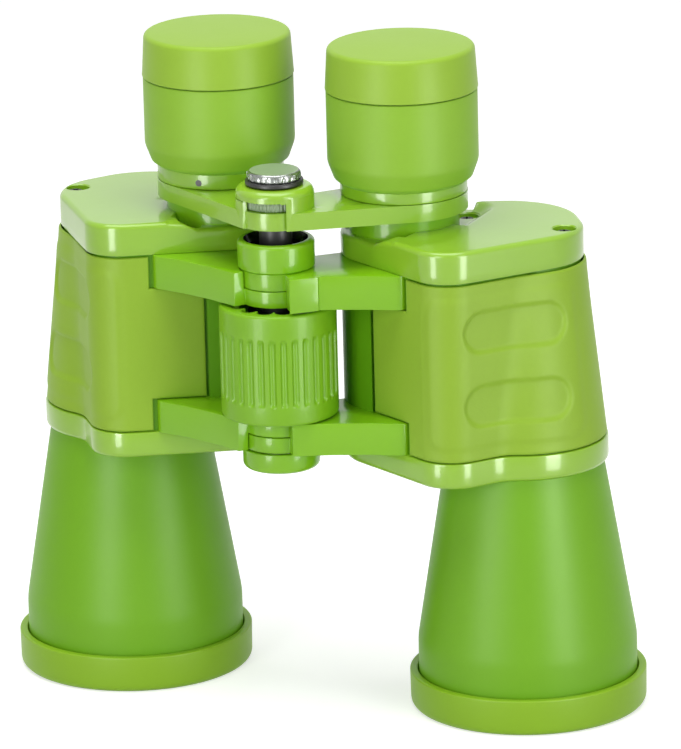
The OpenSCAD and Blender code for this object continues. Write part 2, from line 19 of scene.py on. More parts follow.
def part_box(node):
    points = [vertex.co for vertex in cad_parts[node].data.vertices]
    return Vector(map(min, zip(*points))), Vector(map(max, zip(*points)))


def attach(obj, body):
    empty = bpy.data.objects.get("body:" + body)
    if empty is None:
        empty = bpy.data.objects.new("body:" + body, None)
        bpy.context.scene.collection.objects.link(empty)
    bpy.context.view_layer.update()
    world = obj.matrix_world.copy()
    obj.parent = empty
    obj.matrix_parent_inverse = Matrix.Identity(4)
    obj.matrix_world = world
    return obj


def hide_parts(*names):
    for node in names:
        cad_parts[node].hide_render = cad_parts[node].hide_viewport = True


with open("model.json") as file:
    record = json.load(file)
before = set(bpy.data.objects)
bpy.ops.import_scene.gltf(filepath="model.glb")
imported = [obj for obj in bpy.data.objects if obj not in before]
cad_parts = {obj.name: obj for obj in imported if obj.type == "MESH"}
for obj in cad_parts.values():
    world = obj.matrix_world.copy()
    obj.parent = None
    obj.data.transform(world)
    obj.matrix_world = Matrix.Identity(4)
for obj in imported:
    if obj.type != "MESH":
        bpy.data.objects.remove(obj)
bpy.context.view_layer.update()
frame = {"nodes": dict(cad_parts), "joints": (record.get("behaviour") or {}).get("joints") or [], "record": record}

log = logging.getLogger("binoculars")
MM = 0.001
Plan = Tuple[float, float]
Circle = Tuple[float, float, float]
Corner = Tuple[float, float, float]
Colour = Tuple[float, float, float]

NODE_BODY: Dict[str, str] = {
    node: body
    for body, nodes in frame["record"]["behaviour"]["bodies"].items()
    for node in nodes
}
HINGE_Y = 1000 * next(
    joint["pos_m"][1] for joint in frame["joints"] if joint["name"] == "hinge"
)


class Side(Enum):
    """The two halves, with the sign of X on which each stands."""

    LEFT = -1
    RIGHT = 1

    def node(self, name: str) -> str:
        """Returns the node name of a piece of this half."""
        return f"{self.name.lower()}_{name}"


# ---- Plan geometry ---------------------------------------------------------------


def unit(angle: float) -> Plan:
    """Returns the unit vector at an angle in radians."""
    return math.cos(angle), math.sin(angle)


def on_circle(circle: Circle, way: Plan) -> Plan:
    """Returns the point of a circle that lies in a direction from its centre."""
    return circle[0] + circle[2] * way[0], circle[1] + circle[2] * way[1]


def touch(p: Circle, q: Circle) -> float:
    """Finds the line that touches two circles on the right.

    Args:
        p: First circle, as x, y and radius.
        q: Second circle.

    Returns:
        The bearing of the touching points from both centres, in radians.
    """
    dx, dy = q[0] - p[0], q[1] - p[1]
    return math.atan2(dy, dx) - math.acos((p[2] - q[2]) / math.hypot(dx, dy))


def belt(circles: Sequence[Circle], grow: float = 0.0, step: float = 0.5) -> List[Plan]:
    """Draws the belt round circles that are listed counter-clockwise.

    Args:
        circles: Circles as x, y and radius.
        grow: Distance by which the belt stands outside the circles.
        step: Spacing of the points; their number does not depend on grow.

    Returns:
        The points of the closed belt.
    """
    count = len(circles)
    points: List[Plan] = []
    for i, (x, y, r) in enumerate(circles):
        before, after = circles[i - 1], circles[(i + 1) % count]
        start, end = touch(before, circles[i]), touch(circles[i], after)
        while end < start:
            end += 2 * math.pi
        pieces = max(4, math.ceil((end - start) * r / step))
        for k in range(pieces + 1):
            a = unit(start + (end - start) * k / pieces)
            points.append((x + (r + grow) * a[0], y + (r + grow) * a[1]))
        a = unit(end)
        goal = (after[0] + (after[2] + grow) * a[0], after[1] + (after[2] + grow) * a[1])
        here = points[-1]
        pieces = max(1, math.ceil(math.dist(here, goal) / step))
        for k in range(1, pieces):
            t = k / pieces
            points.append((here[0] + (goal[0] - here[0]) * t, here[1] + (goal[1] - here[1]) * t))
    return points


def blend_max(a: float, b: float, k: float) -> float:
    """Returns the larger of two numbers, rounded over where they meet within k."""
    h = max(k - abs(a - b), 0.0) / k
    return max(a, b) + h * h * k / 4


def ease_in(t: float, soft: float = 0.14) -> float:
    """Returns a ramp from 0 to 1 whose two corners are rounded.

    Args:
        t: Place along the ramp, from 0 to 1.
        soft: Share of the ramp over which each corner is rounded.

    Returns:
        The ramp's value.
    """
    if t <= -soft:
        return 0.0
    if t >= 1 + soft:
        return 1.0
    if t < soft:
        return (t + soft) ** 2 / (4 * soft)
    if t > 1 - soft:
        return 1 - (1 + soft - t) ** 2 / (4 * soft)
    return t


def eased(corners: Sequence[Corner], closed: bool = True, steps: int = 5) -> List[Plan]:
    """Rounds the corners of a profile.

    Args:
        corners: Corners as radius, height and radius of the rounding.
        closed: Whether the last corner joins the first.
        steps: Pieces in each rounding.

    Returns:
        The profile's points.
    """
    points: List[Plan] = []
    count = len(corners)
    for i, (r, z, ease) in enumerate(corners):
        if ease <= 0 or (not closed and i in (0, count - 1)):
            points.append((r, z))
            continue
        here = Vector((r, z))
        back = Vector(corners[i - 1][:2]) - here
        ahead = Vector(corners[(i + 1) % count][:2]) - here
        u, v = back.normalized(), ahead.normalized()
        half = math.acos(max(-1.0, min(1.0, u.dot(v)))) / 2
        cut = min(ease / math.tan(half), 0.48 * back.length, 0.48 * ahead.length)
        centre = here + (u + v).normalized() * (cut / math.cos(half))
        start, end = here + u * cut - centre, here + v * cut - centre
        a0 = math.atan2(start.y, start.x)
        turn = (math.atan2(end.y, end.x) - a0 + math.pi) % (2 * math.pi) - math.pi
        for k in range(steps + 1):
            a = unit(a0 + turn * k / steps)
            points.append((centre.x + start.length * a[0], centre.y + start.length * a[1]))
    return points


# ---- Mesh making -----------------------------------------------------------------


@dataclass
class Draft:
    """A mesh under construction, in millimetres in the right half's plan."""

    points: List[Tuple[float, float, float]] = field(default_factory=list)
    faces: List[Tuple[int, ...]] = field(default_factory=list)

    def row(self, points: Sequence[Tuple[float, float, float]]) -> List[int]:
        """Adds points and returns their numbers."""
        first = len(self.points)
        self.points.extend(points)
        return list(range(first, len(self.points)))

    def ring(self, points: Sequence[Plan], z: float) -> List[int]:
        """Adds a level row of plan points and returns their numbers."""
        return self.row([(x, y, z) for x, y in points])

    def band(self, low: Sequence[int], high: Sequence[int], closed: bool = True) -> None:
        """Joins two rows of equal length by quads that face outwards.

        Args:
            low: Lower row, counter-clockwise.
            high: Upper row; either row may be a single point.
            closed: Whether the rows' ends join.
        """
        count = max(len(low), len(high))
        for i in range(count if closed else count - 1):
            j = (i + 1) % count
            if len(low) == 1:
                self.faces.append((low[0], high[j], high[i]))
            elif len(high) == 1:
                self.faces.append((low[i], low[j], high[0]))
            else:
                self.faces.append((low[i], low[j], high[j], high[i]))

    def build(self, name: str, side: Side = Side.RIGHT) -> bpy.types.Object:
        """Makes the object, mirrored for the left half.

        Args:
            name: Name of the piece.
            side: Half on which it stands.

        Returns:
            The linked object, smooth shaded.
        """
        sign = side.value
        mesh = bpy.data.meshes.new(name)
        points = [(x * sign * MM, (y + HINGE_Y) * MM, z * MM) for x, y, z in self.points]
        faces = self.faces if sign > 0 else [tuple(reversed(f)) for f in self.faces]
        mesh.from_pydata(points, [], faces)
        mesh.update()
        mesh.shade_smooth()
        piece = bpy.data.objects.new(name, mesh)
        bpy.context.scene.collection.objects.link(piece)
        return piece


def turn(
    name: str,
    profile: Sequence[Plan],
    centre: Plan = (0.0, 0.0),
    side: Side = Side.RIGHT,
    steps: int = 128,
    shape: Callable[[float, float, float], float] = lambda r, z, a: r,
    closed: bool = True,
) -> bpy.types.Object:
    """Turns a profile round an upright axis.

    Args:
        name: Name of the piece.
        profile: Points as radius and height; the outer wall runs upwards.
        centre: Axis in plan.
        side: Half on which the piece stands.
        steps: Columns round the axis.
        shape: Gives the radius at a profile point and an angle.
        closed: Whether the profile's last point joins its first.

    Returns:
        The piece.
    """
    draft = Draft()
    rows = []
    for r, z in profile:
        if r < 1e-6:
            rows.append(draft.row([(centre[0], centre[1], z)]))
            continue
        points = []
        for k in range(steps):
            angle = 2 * math.pi * k / steps
            a, reach = unit(angle), shape(r, z, angle)
            points.append((centre[0] + reach * a[0], centre[1] + reach * a[1], z))
        rows.append(draft.row(points))
    pairs = list(zip(rows, rows[1:])) + ([(rows[-1], rows[0])] if closed else [])
    for low, high in pairs:
        if len(low) > 1 or len(high) > 1:
            draft.band(low, high)
    return draft.build(name, side)


def modified(piece: bpy.types.Object) -> bpy.types.Object:
    """Applies every modifier of a piece.

    Args:
        piece: The piece.

    Returns:
        The same piece.
    """
    graph = bpy.context.evaluated_depsgraph_get()
    graph.update()
    mesh = bpy.data.meshes.new_from_object(piece.evaluated_get(graph))
    piece.modifiers.clear()
    piece.data = mesh
    return piece


def prism(
    name: str, plan: Sequence[Plan], z0: float, z1: float, side: Side = Side.RIGHT
) -> bpy.types.Object:
    """Makes an upright prism.

    Args:
        name: Name of the piece.
        plan: Corners, counter-clockwise.
        z0: Foot.
        z1: Top.
        side: Half on which the piece stands.

    Returns:
        The piece.
    """
    draft = Draft()
    low, high = draft.ring(plan, z0), draft.ring(plan, z1)
    draft.band(low, high)
    draft.faces += [tuple(reversed(low)), tuple(high)]
    return draft.build(name, side)


def carve(
    piece: bpy.types.Object, cutters: Sequence[bpy.types.Object], operation: str = "DIFFERENCE"
) -> bpy.types.Object:
    """Cuts solids out of a piece, or joins them to it.

    Args:
        piece: Closed piece to cut.
        cutters: Closed solids, deleted afterwards.
        operation: Boolean operation.

    Returns:
        The same piece.
    """
    for cutter in cutters:
        cut = piece.modifiers.new("cut", "BOOLEAN")
        cut.operation, cut.object, cut.solver = operation, cutter, "EXACT"
    modified(piece)
    for cutter in cutters:
        bpy.data.objects.remove(cutter)
    return piece


def smooth_edges(piece: bpy.types.Object, angle: float = 35.0) -> bpy.types.Object:
    """Shades a piece smooth except across sharp edges.

    Args:
        piece: The piece.
        angle: Angle in degrees from which an edge is sharp.

    Returns:
        The same piece.
    """
    work = bmesh.new()
    work.from_mesh(piece.data)
    for face in work.faces:
        face.smooth = True
    limit = math.radians(angle)
    for edge in work.edges:
        edge.smooth = len(edge.link_faces) == 2 and edge.calc_face_angle(0.0) < limit
    work.to_mesh(piece.data)
    work.free()
    return piece


# ---- Finishes --------------------------------------------------------------------


def maths(
    tree: bpy.types.NodeTree, operation: str, *operands: Union[bpy.types.NodeSocket, float]
) -> bpy.types.NodeSocket:
    """Adds a maths node.

    Args:
        tree: Node tree.
        operation: What the node works out.
        operands: Sockets to link or numbers to set, in the node's order.

    Returns:
        The node's output.
    """
    node = tree.nodes.new("ShaderNodeMath")
    node.operation = operation
    for socket, operand in zip(node.inputs, operands):
        if isinstance(operand, bpy.types.NodeSocket):
            tree.links.new(operand, socket)
        else:
            socket.default_value = operand
    return node.outputs[0]


class Effects:
    """Shared shader groups for colour, roughness and relief."""

    made: Dict[str, bpy.types.NodeTree] = {}

    @classmethod
    def _start(
        cls, name: str, inputs: Sequence[Tuple[str, str, float]], output: Tuple[str, str]
    ) -> Tuple[bpy.types.NodeTree, bpy.types.Node, bpy.types.Node]:
        """Opens a shader group.

        Args:
            name: Name of the group.
            inputs: Label, socket type and default of each input.
            output: Label and socket type of the output.

        Returns:
            The group with its input and output nodes.
        """
        tree = bpy.data.node_groups.new(name, "ShaderNodeTree")
        for label, kind, value in inputs:
            socket = tree.interface.new_socket(label, in_out="INPUT", socket_type=kind)
            if kind == "NodeSocketFloat":
                socket.default_value = value
        tree.interface.new_socket(output[0], in_out="OUTPUT", socket_type=output[1])
        return tree, tree.nodes.new("NodeGroupInput"), tree.nodes.new("NodeGroupOutput")

    @classmethod
    def _noise(
        cls, tree: bpy.types.NodeTree, scale: bpy.types.NodeSocket, detail: float, times: float
    ) -> bpy.types.NodeSocket:
        """Adds noise in the piece's own space.

        Args:
            tree: Group to add it to.
            scale: Socket that gives the scale.
            detail: Detail of the noise.
            times: Multiple of the scale.

        Returns:
            The noise's value.
        """
        place = tree.nodes.new("ShaderNodeTexCoord")
        noise = tree.nodes.new("ShaderNodeTexNoise")
        noise.inputs["Detail"].default_value = detail
        tree.links.new(place.outputs["Object"], noise.inputs["Vector"])
        tree.links.new(maths(tree, "MULTIPLY", scale, times), noise.inputs["Scale"])
        return noise.outputs["Fac"]

    @classmethod
    def tone(cls) -> bpy.types.NodeTree:
        """Returns the group that mottles a colour slightly."""
        if "tone" not in cls.made:
            tree, source, sink = cls._start(
                "tone_mottle",
                [("Colour", "NodeSocketColor", 0), ("Scale", "NodeSocketFloat", 60),
                 ("Amount", "NodeSocketFloat", 0.05)],
                ("Colour", "NodeSocketColor"),
            )
            broad = cls._noise(tree, source.outputs["Scale"], 3, 1)
            fine = cls._noise(tree, source.outputs["Scale"], 2, 14)
            centred = maths(tree, "SUBTRACT", maths(tree, "ADD", broad, fine), 1.0)
            gain = maths(tree, "MULTIPLY_ADD", centred, source.outputs["Amount"], 1.0)
            paint = tree.nodes.new("ShaderNodeVectorMath")
            paint.operation = "SCALE"
            tree.links.new(source.outputs["Colour"], paint.inputs[0])
            tree.links.new(gain, paint.inputs["Scale"])
            tree.links.new(paint.outputs[0], sink.inputs[0])
            cls.made["tone"] = tree
        return cls.made["tone"]

    @classmethod
    def sheen_spread(cls) -> bpy.types.NodeTree:
        """Returns the group that varies a roughness over a surface."""
        if "rough" not in cls.made:
            tree, source, sink = cls._start(
                "roughness_spread",
                [("Base", "NodeSocketFloat", 0.4), ("Scale", "NodeSocketFloat", 90),
                 ("Spread", "NodeSocketFloat", 0.1)],
                ("Roughness", "NodeSocketFloat"),
            )
            noise = cls._noise(tree, source.outputs["Scale"], 4, 1)
            centred = maths(tree, "SUBTRACT", noise, 0.5)
            gain = maths(tree, "MULTIPLY_ADD", centred, source.outputs["Spread"],
                         source.outputs["Base"])
            tree.links.new(gain, sink.inputs[0])
            cls.made["rough"] = tree
        return cls.made["rough"]

    @classmethod
    def grain(cls) -> bpy.types.NodeTree:
        """Returns the group that gives a fine pebbled height."""
        if "grain" not in cls.made:
            tree, source, sink = cls._start(
                "grain_height",
                [("Scale", "NodeSocketFloat", 900), ("Pebble", "NodeSocketFloat", 0.5)],
                ("Height", "NodeSocketFloat"),
            )
            noise = cls._noise(tree, source.outputs["Scale"], 3, 1)
            place = tree.nodes.new("ShaderNodeTexCoord")
            cells = tree.nodes.new("ShaderNodeTexVoronoi")
            tree.links.new(place.outputs["Object"], cells.inputs["Vector"])
            tree.links.new(source.outputs["Scale"], cells.inputs["Scale"])
            share = maths(tree, "MULTIPLY_ADD", cells.outputs["Distance"],
                          source.outputs["Pebble"], noise)
            tree.links.new(share, sink.inputs[0])
            cls.made["grain"] = tree
        return cls.made["grain"]


@dataclass(frozen=True)
class Finish:
    """A surface finish: colour, gloss and fine relief."""

    name: str
    slot: str
    colour: Colour
    roughness: float
    spread: float = 0.08
    mottle: float = 0.05
    mottle_scale: float = 55.0
    grain_scale: float = 1500.0
    pebble: float = 0.4
    relief_mm: float = 0.01
    metallic: float = 0.0
    specular: float = 0.5
    coat: float = 0.0
    coat_roughness: float = 0.08
    sheen: float = 0.0

    def material(self) -> bpy.types.Material:
        """Makes the finish's material, once.

        What is the same all over is set on the shader's own sockets.

        Returns:
            The material.
        """
        found = bpy.data.materials.get(self.name)
        if found:
            return found
        made = bpy.data.materials.new(self.name)
        made.use_nodes = True
        made.diffuse_color = (*self.colour, 1.0)
        tree = made.node_tree
        shader = tree.nodes["Principled BSDF"]
        place = self._place
        shader.inputs["Base Color"].default_value = (*self.colour, 1.0)
        shader.inputs["Roughness"].default_value = self.roughness
        if self.mottle:
            tone = place(tree, Effects.tone(), Colour=(*self.colour, 1.0),
                         Scale=self.mottle_scale, Amount=self.mottle)
            tree.links.new(tone, shader.inputs["Base Color"])
        if self.spread:
            rough = place(tree, Effects.sheen_spread(), Base=self.roughness, Spread=self.spread)
            tree.links.new(rough, shader.inputs["Roughness"])
        if self.relief_mm:
            height = place(tree, Effects.grain(), Scale=self.grain_scale, Pebble=self.pebble)
            bump = tree.nodes.new("ShaderNodeBump")
            bump.inputs["Strength"].default_value = 1.0
            bump.inputs["Distance"].default_value = self.relief_mm * MM
            tree.links.new(height, bump.inputs["Height"])
            tree.links.new(bump.outputs[0], shader.inputs["Normal"])
        shader.inputs["Metallic"].default_value = self.metallic
        shader.inputs["Specular IOR Level"].default_value = self.specular
        shader.inputs["Coat Weight"].default_value = self.coat
        shader.inputs["Coat Roughness"].default_value = self.coat_roughness
        shader.inputs["Sheen Weight"].default_value = self.sheen
        self.adjust(shader)
        return made

    @staticmethod
    def _place(
        tree: bpy.types.NodeTree, group: bpy.types.NodeTree, **values: Union[float, Sequence[float]]
    ) -> bpy.types.NodeSocket:
        """Puts a shared group into a material.

        Args:
            tree: The material's nodes.
            group: The group.
            values: The material's own values for the group's inputs.

        Returns:
            The group's output.
        """
        node = tree.nodes.new("ShaderNodeGroup")
        node.node_tree = group
        for label, value in values.items():
            node.inputs[label].default_value = value
        return node.outputs[0]

    def adjust(self, shader: bpy.types.Node) -> None:
        """Changes the shader's further sockets; a plain finish has none."""


@dataclass(frozen=True)
class GlassFinish(Finish):
    """Clear glass with a faint tint."""

    index: float = 1.5

    def adjust(self, shader: bpy.types.Node) -> None:
        """Makes the shader let light through."""
        shader.inputs["Transmission Weight"].default_value = 1.0
        shader.inputs["IOR"].default_value = self.index


class Finishes:
    """Every finish on the binoculars."""

    paint = Finish("green_gloss_paint", "green_paint", (0.23, 0.52, 0.008), 0.3,
                   mottle=0.03, grain_scale=700, relief_mm=0.003, specular=0.2, coat=0.42,
                   coat_roughness=0.1)
    cover = Finish("green_cover_paint", "green_paint", (0.285, 0.53, 0.024), 0.3,
                   mottle=0.03, grain_scale=700, relief_mm=0.003, specular=0.35, coat=0.6,
                   coat_roughness=0.1)
    # Housing walls: the same green paint made darker, as painted shade for the gaps beside the hinge where the
    # housing shows.
    casting = Finish("green_casting_paint", "green_paint", (0.135, 0.37, 0.005), 0.4,
                     mottle=0.03, grain_scale=700, relief_mm=0.003, specular=0.25)
    barrel = Finish("green_satin_barrel_paint", "barrel_paint", (0.17, 0.42, 0.006), 0.45,
                    mottle=0.04, grain_scale=1700, relief_mm=0.012, specular=0.3)
    skin = Finish("green_grip_rubber", "grip_rubber", (0.285, 0.48, 0.024), 0.52,
                  mottle=0.05, grain_scale=1500, relief_mm=0.02, specular=0.3, sheen=0.08)
    cup = Finish("green_cup_rubber", "cup_rubber", (0.275, 0.52, 0.028), 0.5,
                 mottle=0.05, grain_scale=1900, relief_mm=0.015, specular=0.3, sheen=0.1)
    cap = Finish("green_cap_plastic", "cap_plastic", (0.315, 0.53, 0.036), 0.44,
                 mottle=0.04, grain_scale=1600, relief_mm=0.012, specular=0.3, sheen=0.08)
    foot = Finish("green_foot_cap_plastic", "cap_plastic", (0.255, 0.47, 0.014), 0.42,
                  mottle=0.04, grain_scale=1600, relief_mm=0.012, specular=0.3)
    wheel = Finish("green_wheel_plastic", "wheel_plastic", (0.205, 0.465, 0.008), 0.4,
                   mottle=0.04, grain_scale=1300, relief_mm=0.01, specular=0.3, coat=0.1)
    dark_steel = Finish("dark_steel", "dark_steel", (0.02, 0.021, 0.022), 0.3,
                        metallic=0.6, relief_mm=0.004, coat=0.3)
    bright_steel = Finish("bright_steel", "bright_steel", (0.6, 0.61, 0.6), 0.28,
                          metallic=1.0, relief_mm=0.004)
    black = Finish("black_plastic", "black_plastic", (0.004, 0.004, 0.005), 0.16, 0.04,
                   relief_mm=0.003, specular=0.03)
    bore = Finish("black_bore", "green_paint", (0.004, 0.004, 0.005), 0.18, specular=0.15)
    dial_rim = Finish("dial_silver", "dial_metal", (0.3, 0.32, 0.3), 0.16,
                      metallic=0.8, mottle=1.9, mottle_scale=420, relief_mm=0.1,
                      grain_scale=1100)
    dial_face = Finish("dial_frosted_face", "dial_metal", (0.28, 0.38, 0.22), 0.4,
                       mottle=0.12, mottle_scale=300, relief_mm=0.02, grain_scale=2600)
    digit = Finish("dial_digit_white", "dial_metal", (0.75, 0.78, 0.74), 0.35, relief_mm=0.002)
    glass = GlassFinish("optical_glass", "optical_glass", (0.96, 0.98, 0.97), 0.03,
                        spread=0.0, mottle=0.0, relief_mm=0.0)


def dress(piece: bpy.types.Object, finish: Finish) -> bpy.types.Object:
    """Gives a new piece one finish.

    Args:
        piece: New piece.
        finish: Its finish.

    Returns:
        The same piece.
    """
    piece.data.materials.clear()
    piece.data.materials.append(finish.material())
    return piece


def publish(piece: bpy.types.Object, finish: Finish, *nodes: str) -> bpy.types.Object:
    """Dresses a piece and puts it in place of CAD nodes.

    Args:
        piece: New piece.
        finish: Its finish.
        nodes: CAD nodes that it stands for; it rides on the first one's body.

    Returns:
        The piece.
    """
    dress(piece, finish)
    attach(piece, NODE_BODY[nodes[0]])
    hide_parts(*nodes)
    log.info("%s: %d faces, rides on %s", piece.name, len(piece.data.polygons), NODE_BODY[nodes[0]])
    return piece


def keep(node: str, finish: Finish) -> None:
    """Keeps a CAD node and gives it a finish.

    Args:
        node: Name of the node.
        finish: Its finish.
    """
    for slot in frame["nodes"][node].material_slots:
        slot.material = finish.material()
    log.info("%s: kept, %s", node, finish.name)


def reach(node: str) -> Tuple[float, float]:
    """Returns the lowest and highest level of a CAD node in millimetres."""
    low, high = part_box(node)
    return low.z / MM, high.z / MM


# ---- The casing of one half ------------------------------------------------------


@dataclass
class Casing:
    """Grip skin, top cover and nose plate of one half."""

    side: Side
    eye: Circle = (27.0, 25.8, 17.5)
    front: Circle = (48.0, 5.3, 10.5)
    objective: Circle = (59.0, 30.1, 16.6)
    rear: Circle = (53.0, 33.0, 20.6)
    shoulder_r: float = 17.6
    skirt_r: float = 23.0
    body_h: float = 50.1
    skin_t: float = 1.4
    skin_gap: float = 0.3
    skin_drop: float = 0.35
    skin_lip: float = 0.55
    skin_grid: float = 0.45
    rim_steps: Tuple[float, ...] = (0.0, 0.08, 0.22, 0.5)
    middle: Plan = (44.0, 22.0)
    seam_x: float = 24.4
    seam_front: float = 20.0
    notch_back: float = 6.05
    recess_depth: float = 0.8
    recess_size: Plan = (31.0, 12.0)
    recess_middle: float = 13.5
    recess_pitch: float = 20.6
    panel_rise: float = 0.3
    panel_corner: float = 4.0
    panel_span: Plan = (-12.5, 31.5)
    panel_levels: Plan = (80.6, 122.2)
    cover_edge: float = 1.4
    cover_step: float = 2.3
    cover_bore: float = 15.04
    cover_rows: int = 64
    slope_foot: Plan = (33.0, 6.0)
    slope_way: Plan = (6.6, 40.0)
    slope_width: float = 1.1
    slope_end: float = 24.0
    fan_pivot: Plan = (27.1, 10.6)
    fan_span: Plan = (-101.0, -42.0)
    well_r: float = 3.2
    well_lip: float = 0.35
    screw_r: float = 2.0
    wells: Tuple[Corner, ...] = ((72.0, 29.5, 0.0), (39.1, 41.5, -1.2), (29.4, 8.8, -1.2))
    spigot_r: float = 18.22

    def circles(self, r: float) -> List[Circle]:
        """Returns the casing's circles with radius r about the objective axis."""
        return [self.eye, self.front, (self.objective[0], self.objective[1], r), self.rear]

    def build(self) -> None:
        """Makes and publishes the three pieces."""
        self.skin()
        self.cover()
        self.screws()
        self.nose()
        # The housing shows only in the gaps, and its darker paint is painted shade for those gaps.
        keep(self.side.node("housing"), Finishes.casting)

    def _panel_frame(self) -> Tuple[Plan, Plan, Plan]:
        """Finds the flat face between the front corner and the objective.

        Returns:
            Its start, its direction and its outward normal.
        """
        normal = unit(touch(self.front, self.objective))
        start = on_circle(self.front, normal)
        return start, (-normal[1], normal[0]), normal

    def _skin_columns(self) -> Tuple[List[Plan], float]:
        """Sets out the skin's columns in plan.

        Returns:
            The points from seam to seam, and the place of the notch's edge along them.
        """
        loop = belt(self.circles(self.objective[2]), 0.0, self.skin_grid)
        a = touch(self.eye, self.front)
        corner = on_circle(self.front, unit(a))
        way = (-math.sin(a), math.cos(a))
        edge = (corner[0] - self.notch_back * way[0], corner[1] - self.notch_back * way[1])
        first = next(
            i for i in range(len(loop))
            if loop[i - 1][0] < self.seam_x <= loop[i][0] and loop[i][1] < self.seam_front
        )
        turned = loop[first:] + loop[:first]
        inside = [turned[0]]
        for p in turned[1:]:
            if p[0] < self.seam_x:
                break
            inside.append(p)
        last = turned[len(inside)]

        def at_seam(p: Plan, q: Plan) -> Plan:
            """Returns the point between two plan points that lies on the seam."""
            t = (self.seam_x - p[0]) / (q[0] - p[0])
            return self.seam_x, p[1] + (q[1] - p[1]) * t

        marks: List[Plan] = []
        for end, toward in ((at_seam(turned[-1], inside[0]), inside[2]),
                            (at_seam(inside[-1], last), inside[-3])):
            length = math.dist(end, toward)
            for d in self.rim_steps:
                t = d / length
                marks.append((end[0] + (toward[0] - end[0]) * t,
                              end[1] + (toward[1] - end[1]) * t))
        marks += [(edge[0] + d * way[0], edge[1] + d * way[1]) for d in self.rim_steps]
        stations = [p for p in inside if all(math.dist(p, m) > 0.3 for m in marks)] + marks

        def place(p: Plan) -> float:
            """Returns the bearing of a plan point from the casing's middle, from the rear on."""
            bearing = math.atan2(p[1] - self.middle[1], p[0] - self.middle[0])
            return (bearing + math.pi) % (2 * math.pi)

        stations.sort(key=place)
        u, notch = 0.0, 0.0
        for p, q in zip(stations, stations[1:]):
            if p == edge:
                notch = u
            u += math.dist(p, q)
        return stations, notch

    def skin(self) -> None:
        """Makes the rubber skin: a raised panel, two finger recesses, notches for the arms."""
        node = self.side.node("grip_skin")
        z0, z1 = reach(node)
        z1 -= self.skin_drop
        arms = (reach(self.side.node("lower_arm"))[1] + self.skin_gap,
                reach(self.side.node("upper_arm"))[0] - self.skin_gap)
        base = z0 - self.skin_gap
        stations, notch = self._skin_columns()
        lengths = [0.0]
        for p, q in zip(stations, stations[1:]):
            lengths.append(lengths[-1] + math.dist(p, q))
        levels = {z0, z1, *arms}
        for edge, sign in ((z0, 1), (z1, -1), (arms[0], 1), (arms[1], -1)):
            levels |= {edge + sign * d for d in self.rim_steps[1:]}
        count = int((z1 - z0) / self.skin_grid)
        for k in range(1, count):
            z = z0 + (z1 - z0) * k / count
            if all(abs(z - edge) > 0.28 for edge in levels):
                levels.add(z)
        rows_z = sorted(levels)
        start, way, normal = self._panel_frame()
        corner_u = min(range(len(stations)), key=lambda i: math.dist(stations[i], start))
        u0 = lengths[corner_u]
        centre = (self.objective[0], self.objective[1])
        lip = self.skin_lip

        def edge_distance(u: float, z: float) -> float:
            """Finds how far a point of the skin lies from its nearest rim.

            Args:
                u: Place along the columns.
                z: Level.

            Returns:
                The distance, at least 0.
            """
            d = min(z - z0, z1 - z, u, lengths[-1] - u)
            if z > arms[1] or z < arms[0]:
                d = min(d, u - notch)
            elif u < notch:
                d = min(d, z - arms[0], arms[1] - z)
            else:
                dz = min(abs(z - arms[0]), abs(z - arms[1]))
                if u - notch < lip and dz < lip:
                    d = min(d, math.hypot(u - notch, dz))
            return max(d, 0.0)

        def hollow(s: float, z: float) -> float:
            """Finds the depth of the finger recesses.

            Args:
                s: Place along the panel's face.
                z: Level.

            Returns:
                The depth.
            """
            half, r = (self.recess_size[0] - self.recess_size[1]) / 2, self.recess_size[1] / 2
            depth = 0.0
            for k in (-0.5, 0.5):
                dz = z - (base + self.body_h / 2 + 0.5 + k * self.recess_pitch)
                dx = max(abs(s - self.recess_middle) - half, 0.0)
                inside = r - math.hypot(dx, dz)
                depth = max(depth, self.recess_depth * ease_in((inside + 0.2) / 1.1, 0.3))
            return depth

        def rise(u: float, z: float) -> float:
            """Finds how far the soft panel stands out.

            Args:
                u: Place along the columns.
                z: Level.

            Returns:
                The height above the skin round the panel.
            """
            r = self.panel_corner
            mu = (self.panel_span[0] + self.panel_span[1]) / 2
            mz = (self.panel_levels[0] + self.panel_levels[1]) / 2
            du = abs(u - u0 - mu) - (self.panel_span[1] - self.panel_span[0]) / 2 + r
            dz = abs(z - mz) - (self.panel_levels[1] - self.panel_levels[0]) / 2 + r
            outside = math.hypot(max(du, 0.0), max(dz, 0.0)) + min(max(du, dz), 0.0) - r
            return self.panel_rise * ease_in((0.8 - outside) / 1.6, 0.4)

